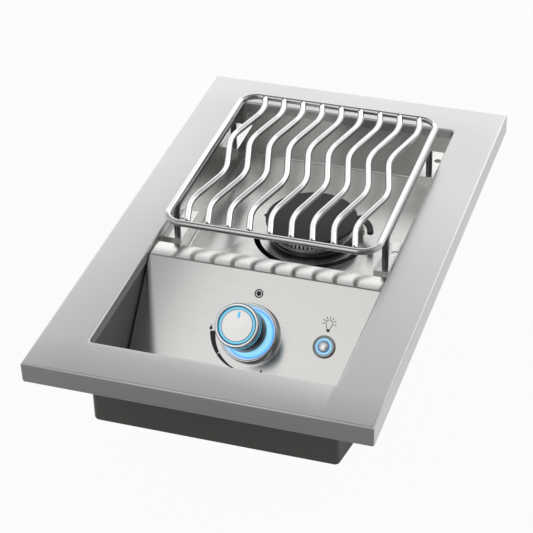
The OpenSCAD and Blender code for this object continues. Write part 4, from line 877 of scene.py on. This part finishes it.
# Each wave has four bends of 54 mm radius that swing 6.3 mm to each side, 60.25 mm apart. Its ends are sawn
# square and butt against the bars, where a short bead of weld on each side holds them.
bend_r, swing, half_wave, lead, pitch = 0.054, 0.0063, 0.06025, 0.039, 0.0205
rod_count, bend_count = 9, 4
between = 2 * (bend_r - swing)
span = math.hypot(between, half_wave)
lean = math.asin(2 * bend_r / span) - math.atan2(between, half_wave)
plain = math.sqrt(span ** 2 - (2 * bend_r) ** 2)
bite = 0.0003
butt = rod_r - bite
weld_ends = []
for k in range(rod_count):
    middle = (k - (rod_count - 1) / 2) * pitch
    first_y = loop_front + lead - bend_r * math.sin(lean)
    run = (first_y - loop_front - butt) / math.cos(lean)
    start_x = middle + (bend_r - swing) - bend_r * math.cos(lean) + run * math.sin(lean)
    weld_ends.append((start_x, loop_front + rod_r))
    bm = bmesh.new()
    ring = rod_begin(bm, (start_x, loop_front + butt, rod_z), (-math.sin(lean), math.cos(lean), 0))
    ring = rod_straight(bm, ring, (-run * math.sin(lean), run * math.cos(lean), 0))
    for turn in range(bend_count):
        side = -1 if turn % 2 == 0 else 1
        centre = (middle - side * (bend_r - swing), loop_front + lead + turn * half_wave, rod_z)
        ring = rod_bend(bm, ring, centre, (0, 0, 1), side * 2 * lean, 14)
        if turn < bend_count - 1:
            ring = rod_straight(bm, ring, (-side * plain * math.sin(lean), plain * math.cos(lean), 0))
    last_y = loop_front + lead + (bend_count - 1) * half_wave + bend_r * math.sin(lean)
    run = (loop_back - butt - last_y) / math.cos(lean)
    end_x = middle - (bend_r - swing) + bend_r * math.cos(lean) - run * math.sin(lean)
    weld_ends.append((end_x, loop_back - rod_r))
    ring = rod_straight(bm, ring, (-run * math.sin(lean), run * math.cos(lean), 0))
    rod_finish(bm, "wave_rod_%d_rod" % (k + 1), "grate", ["wave_rod_%d" % (k + 1)])

# Weld bead: steel melted and left as it set. Rough, and tinted brown by the heat.
weld_steel = fine_finish("weld_bead_tinted", "#6B645C", 1.0, 0.45, 900.0, 2.0, tones=("#4E463F", "#857C72"),
                         relief=(0.4, 0.0003))
bead_in = 0.0006
bm = bmesh.new()
for x, y in weld_ends:
    for across, up, size in ((-0.25, 0.80, (0.0014, 0.0013, 0.0009)), (0.8, 0.1, (0.0010, 0.0008, 0.0013))):
        place = Matrix.Translation((x + across * rod_r, y - math.copysign(bead_in, y), rod_z + up * rod_r))
        bmesh.ops.create_icosphere(bm, subdivisions=2, radius=1.0,
                                   matrix=place @ Matrix.Diagonal((*size, 1.0)))
make_piece(bm, "grate_weld_beads", weld_steel, "grate")

# The two leg wires are left as drawn through the die, duller than the polished loop above them, and their
# colour is painted darker as shade under the grate. Each runs down at its front bend and its back bend to the
# shelves on the well's walls.
wire_painted_shade = fine_finish("stainless_drawn_wire", "#77777A", 1.0, 0.30, 300.0, 2.0,
                         tones=("#6C6C6E", "#838385"))
leg_front, leg_back, leg_bend, leg_gap, foot_depth = -0.018, 0.153, 0.008, 0.00015, 0.010
leg_top = rod_z - 2 * rod_r - leg_gap
foot_z = top - foot_depth
for name, side in (("grate_leg_left", -1), ("grate_leg_right", 1)):
    x = side * loop_x
    bm = bmesh.new()
    ring = rod_begin(bm, (x, leg_front, foot_z), (0, 0, 1))
    ring = rod_straight(bm, ring, (0, 0, leg_top - leg_bend - foot_z))
    ring = rod_bend(bm, ring, (x, leg_front + leg_bend, leg_top - leg_bend), (1, 0, 0), -math.pi / 2, 10)
    ring = rod_straight(bm, ring, (0, leg_back - leg_front - 2 * leg_bend, 0))
    ring = rod_bend(bm, ring, (x, leg_back - leg_bend, leg_top - leg_bend), (1, 0, 0), -math.pi / 2, 10)
    rod_straight(bm, ring, (0, 0, -(leg_top - leg_bend - foot_z)))
    rod_finish(bm, name + "_rod", "grate", [name], wire_painted_shade)

bpy.context.view_layer.update()
